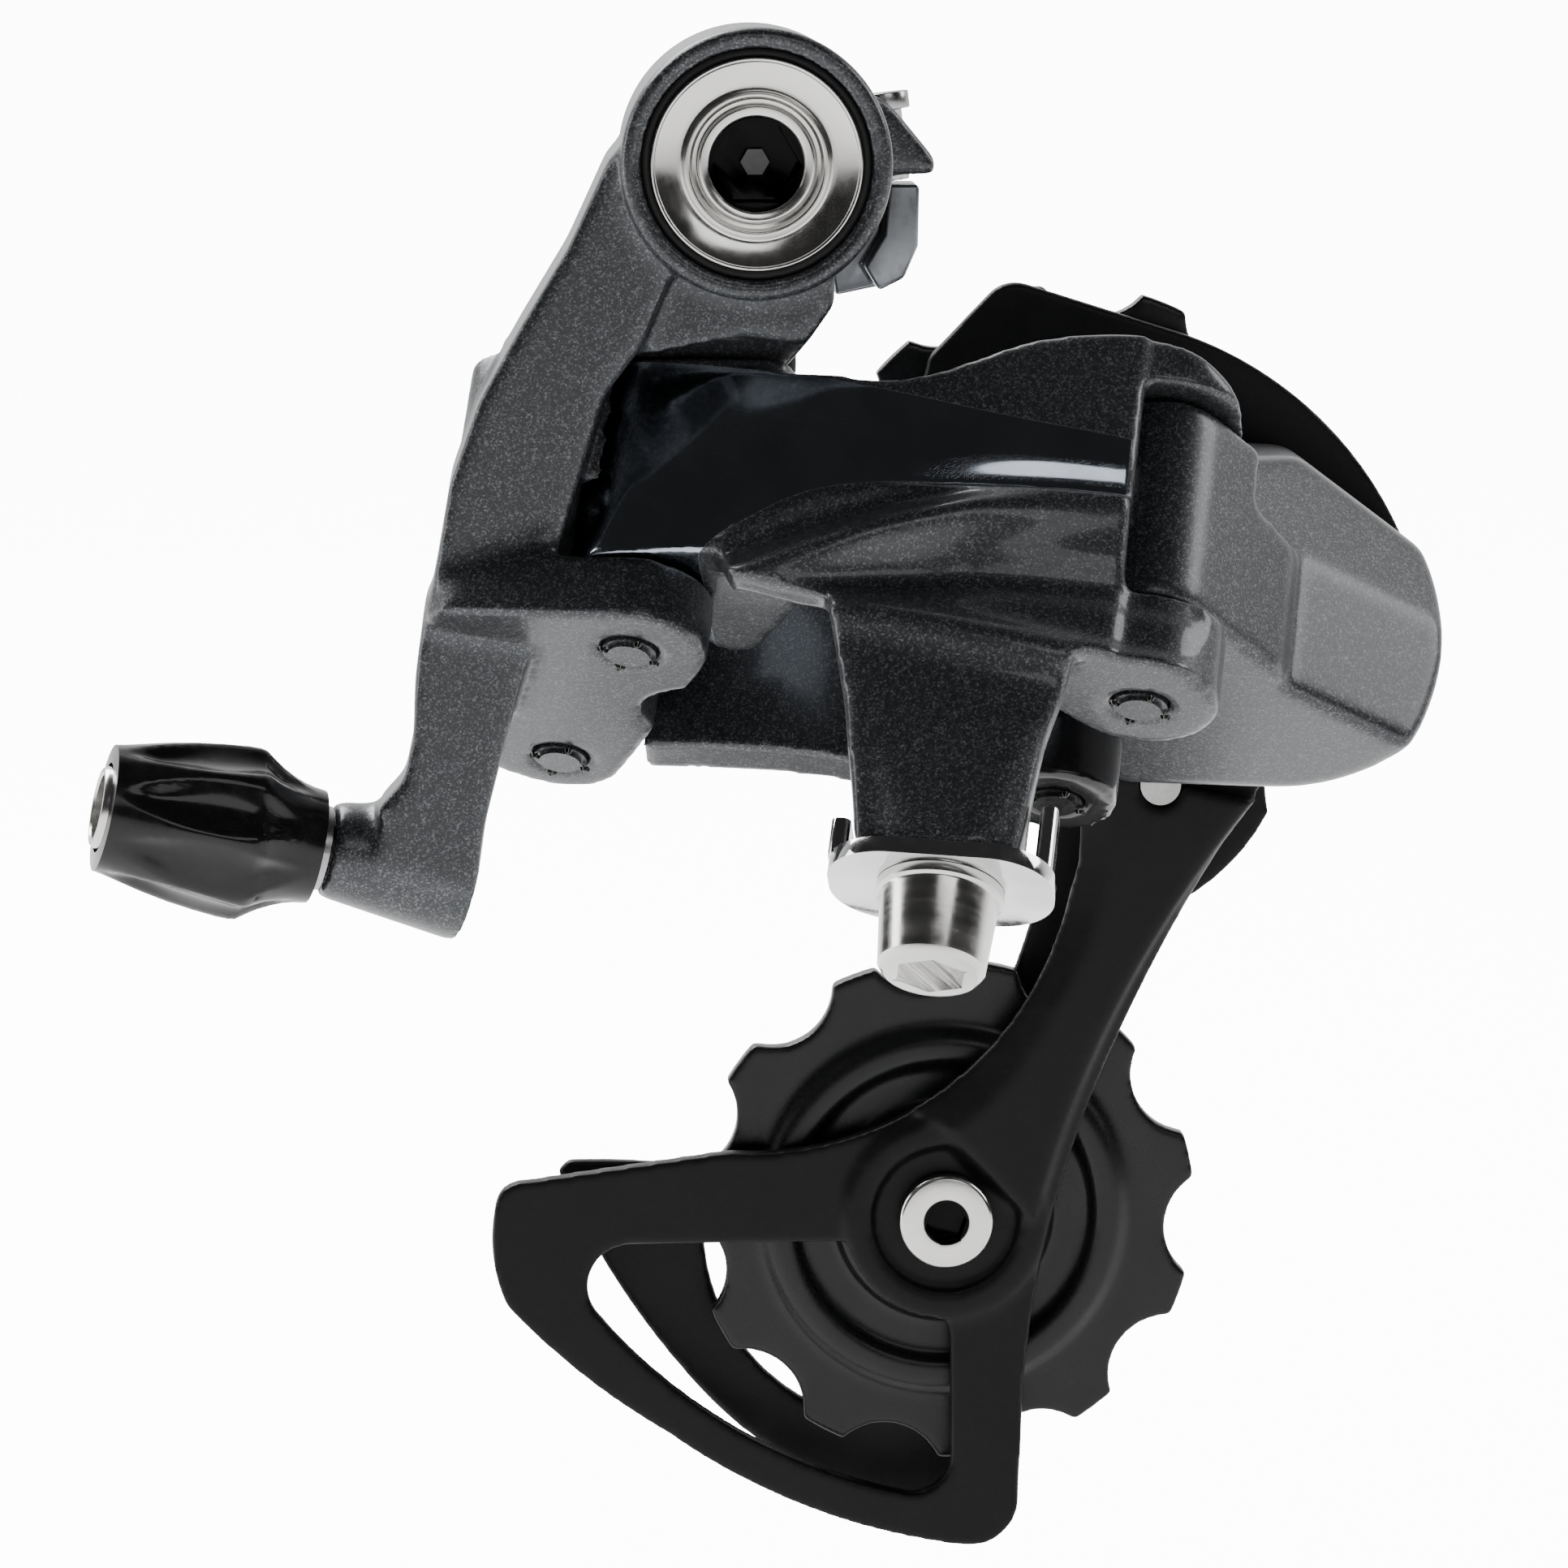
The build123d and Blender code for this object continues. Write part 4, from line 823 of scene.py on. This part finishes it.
class DERAILLEUR_OT_cage(bpy.types.Operator):
    """Cage plates, cage axle, pulley bolts and stop screw"""
    bl_idname = "derailleur.cage"
    bl_label = "Cage"

    def execute(self, context):
        finishes, sizes = context.scene.derailleur_finishes, context.scene.derailleur_sizes
        black = shared("Black anodised cage", plain_metal, tuple(finishes.cage_color[:3]), 0.40,
                       0.0003, 0.10, metallic=0.0, gloss=0.14)
        for node, name in (("outer_plate", "outer_cage_plate"), ("inner_plate", "inner_cage_plate")):
            plate = cast_copy(node, sizes.casting_grid * 0.94, 3)
            finished(name, plate, black, "cage", (node,), sharp=70)
        for node, name, centre, front in (
                ("tension_pulley_bolt", "tension_pulley_screw", TENSION_CENTRE, 5.4),
                ("guide_pulley_bolt", "guide_pulley_screw", GUIDE_CENTRE, 5.9)):
            screw = socket_screw([(2.3, front), (3.7, front), (3.95, front + 0.25), (4.0, 6.95),
                                  (2.5, 6.95), (2.5, 17.2), (2.1, 17.6), (0, 17.6)], 3.0, 1.8,
                                 turn=radians(20), edge=0.07)
            steel = shared(name.replace("_", " ") + " steel", steel_with_painted_socket_shade, finishes, centre,
                           INBOARD, 1.95)
            finished(name, screw, steel, "cage", (node,),
                     local_to_row(Vector((centre.x, 0, centre.z)), INBOARD))
        dress("p_axle", small_steel())
        dress("cage_stop_screw", small_steel())
        for node in ("guide_pulley_bush", "tension_pulley_bush"):
            dress(node, bearing_bronze())
        return {"FINISHED"}


class DERAILLEUR_OT_pulleys(bpy.types.Operator):
    """Guide and tension pulleys with their steel shields"""
    bl_idname = "derailleur.pulleys"
    bl_label = "Chain pulleys"

    def execute(self, context):
        finishes, sizes = context.scene.derailleur_finishes, context.scene.derailleur_sizes
        resin = shared("Pulley resin", moulded, tuple(finishes.resin_color[:3]), 0.30)
        for node, centre in (("guide_pulley", GUIDE_CENTRE), ("tension_pulley", TENSION_CENTRE)):
            wheel = cast_copy(node, sizes.casting_grid * 0.8, 3)
            finished(node + "_wheel", wheel, resin, node, (node,), sharp=70)
            steel = shared(node.replace("_", " ") + " shield steel", turned_steel, finishes, centre,
                           INBOARD, 0.26, 0.7)
            caps = []
            for front, back in ((9.15, 9.6), (14.4, 14.85)):
                cap = revolved([(3.9, front), (7.9, front), (8.1, front + 0.12), (8.1, back),
                                (3.9, back), (3.9, front)], 96)
                caps.append((cap, local_to_row(Vector((centre.x, 0, centre.z)), INBOARD)))
            finished(node + "_shield_rings", joined(caps), steel, node,
                     (node + "_shields",))
        return {"FINISHED"}


# ---------------------------------------------------------------- stage

def soft_light(name, place, aim, size, power):
    """Large area light that points at a place, all in metres."""
    data = bpy.data.lights.new(name, "AREA")
    data.shape = "RECTANGLE"
    data.size, data.size_y = size
    data.energy = power
    light = bpy.data.objects.new(name, data)
    light.location = place
    light.rotation_mode = "QUATERNION"
    light.rotation_quaternion = (Vector(aim) - Vector(place)).to_track_quat("-Z", "Y")
    bpy.context.scene.collection.objects.link(light)
    return light


def pale_floor(studio):
    """Floor that looks white and throws only a soft light on the object."""
    bm = bmesh.new()
    bmesh.ops.create_grid(bm, x_segments=1, y_segments=1, size=30)
    bmesh.ops.translate(bm, verts=bm.verts, vec=(0, 0, CAD_BOX[0].z - 0.02))
    mesh = bpy.data.meshes.new("floor")
    bm.to_mesh(mesh)
    bm.free()
    floor = bpy.data.objects.new("floor", mesh)
    bpy.context.scene.collection.objects.link(floor)
    finish = Finish("Pale floor")
    speckle = finish.noise(0.02, 2.0)
    pale = tuple(studio.floor_color)
    tint = finish.mixed(finish.spread(speckle, 0.3, 0.7), pale,
                        tuple(c * 0.99 for c in pale[:3]) + (1,))
    seen = finish.add("LightPath", {}).outputs["Is Camera Ray"]
    glow = finish.spread(seen, 0, 1, studio.floor_glow, studio.floor_white)
    mesh.materials.append(finish.shade(Base_Color=tint, Roughness=0.8,
                                       Emission_Color=(1, 1, 1, 1), Emission_Strength=glow))
    return floor


def studio_world(studio):
    """World that is bright behind the object and dark in front."""
    world = bpy.data.worlds.new("Studio")
    world.use_nodes = True
    nodes, links = world.node_tree.nodes, world.node_tree.links
    ray = nodes.new("ShaderNodeTexCoord")
    parts = nodes.new("ShaderNodeSeparateXYZ")
    fade = nodes.new("ShaderNodeMapRange")
    for socket, value in zip(fade.inputs[1:5], (0.15, 0.85, 0.03, studio.backdrop_light)):
        socket.default_value = value
    links.new(ray.outputs["Generated"], parts.inputs[0])
    links.new(parts.outputs["Y"], fade.inputs[0])
    links.new(fade.outputs[0], nodes["Background"].inputs[1])
    nodes["Background"].inputs[0].default_value = (1, 1, 1, 1)
    return world


def studio_camera():
    """Long lens from the outboard side, a little above."""
    data = bpy.data.cameras.new("Camera")
    data.lens = 159.65
    data.sensor_width = 36
    data.clip_start, data.clip_end = 0.01, 100
    camera = bpy.data.objects.new("Camera", data)
    aim, distance = Vector((0.00301, 0, -0.05215)), 0.575
    tilt, swing = radians(7.5), radians(-2.0)
    back = Vector((sin(swing) * cos(tilt), -cos(swing) * cos(tilt), sin(tilt)))
    camera.location = aim + back * distance
    camera.rotation_mode = "QUATERNION"
    camera.rotation_quaternion = (-back).to_track_quat("-Z", "Y")
    bpy.context.scene.collection.objects.link(camera)
    return camera


class DERAILLEUR_OT_stage(bpy.types.Operator):
    """Pale floor, soft lights and the camera"""
    bl_idname = "derailleur.stage"
    bl_label = "Stage"

    def execute(self, context):
        studio = context.scene.derailleur_studio
        pale_floor(studio)
        middle = (0.003, 0, -0.052)
        soft_light("Rear light", (-0.40, 0.42, 0.62), middle, (0.7, 0.45), studio.key_power)
        soft_light("Right light", (0.80, 0.10, 0.42), middle, (0.35, 0.5), studio.fill_power)
        soft_light("Left light", (-0.80, 0.05, 0.10), middle, (0.25, 0.5),
                   studio.fill_power * 0.6)
        soft_light("Front card", (0.20, -0.90, 0.40), middle, (0.55, 0.30),
                   studio.fill_power * 0.30)
        context.scene.world = studio_world(studio)
        context.scene.camera = studio_camera()
        return {"FINISHED"}


# ---------------------------------------------------------------- add-on

OPERATORS = (DERAILLEUR_OT_mount, DERAILLEUR_OT_upper_knuckle, DERAILLEUR_OT_outer_link,
             DERAILLEUR_OT_cable_anchor, DERAILLEUR_OT_inner_link, DERAILLEUR_OT_lower_knuckle,
             DERAILLEUR_OT_link_pins, DERAILLEUR_OT_cable_adjuster, DERAILLEUR_OT_cage,
             DERAILLEUR_OT_pulleys, DERAILLEUR_OT_stage)


class DERAILLEUR_PT_panel(bpy.types.Panel):
    """Sidebar panel that lists the settings and the pieces"""
    bl_idname = "DERAILLEUR_PT_panel"
    bl_label = "Rear derailleur"
    bl_space_type = "VIEW_3D"
    bl_region_type = "UI"
    bl_category = "Derailleur"

    def draw(self, context):
        for settings in (context.scene.derailleur_finishes, context.scene.derailleur_sizes,
                         context.scene.derailleur_studio):
            box = self.layout.box()
            for name in settings.__annotations__:
                box.prop(settings, name)
        for operator in OPERATORS:
            self.layout.operator(operator.bl_idname)


GROUPS = (("derailleur_finishes", DerailleurFinishes), ("derailleur_sizes", DerailleurSizes),
          ("derailleur_studio", DerailleurStudio))


def register():
    for name, group in GROUPS:
        bpy.utils.register_class(group)
        setattr(bpy.types.Scene, name, PointerProperty(type=group))
    for cls in OPERATORS + (DERAILLEUR_PT_panel,):
        bpy.utils.register_class(cls)


def unregister():
    for cls in reversed(OPERATORS + (DERAILLEUR_PT_panel,)):
        bpy.utils.unregister_class(cls)
    for name, group in reversed(GROUPS):
        delattr(bpy.types.Scene, name)
        bpy.utils.unregister_class(group)


def main():
    register()
    for operator in OPERATORS:
        group, name = operator.bl_idname.split(".")
        getattr(getattr(bpy.ops, group), name)()


if __name__ == "__main__":
    main()
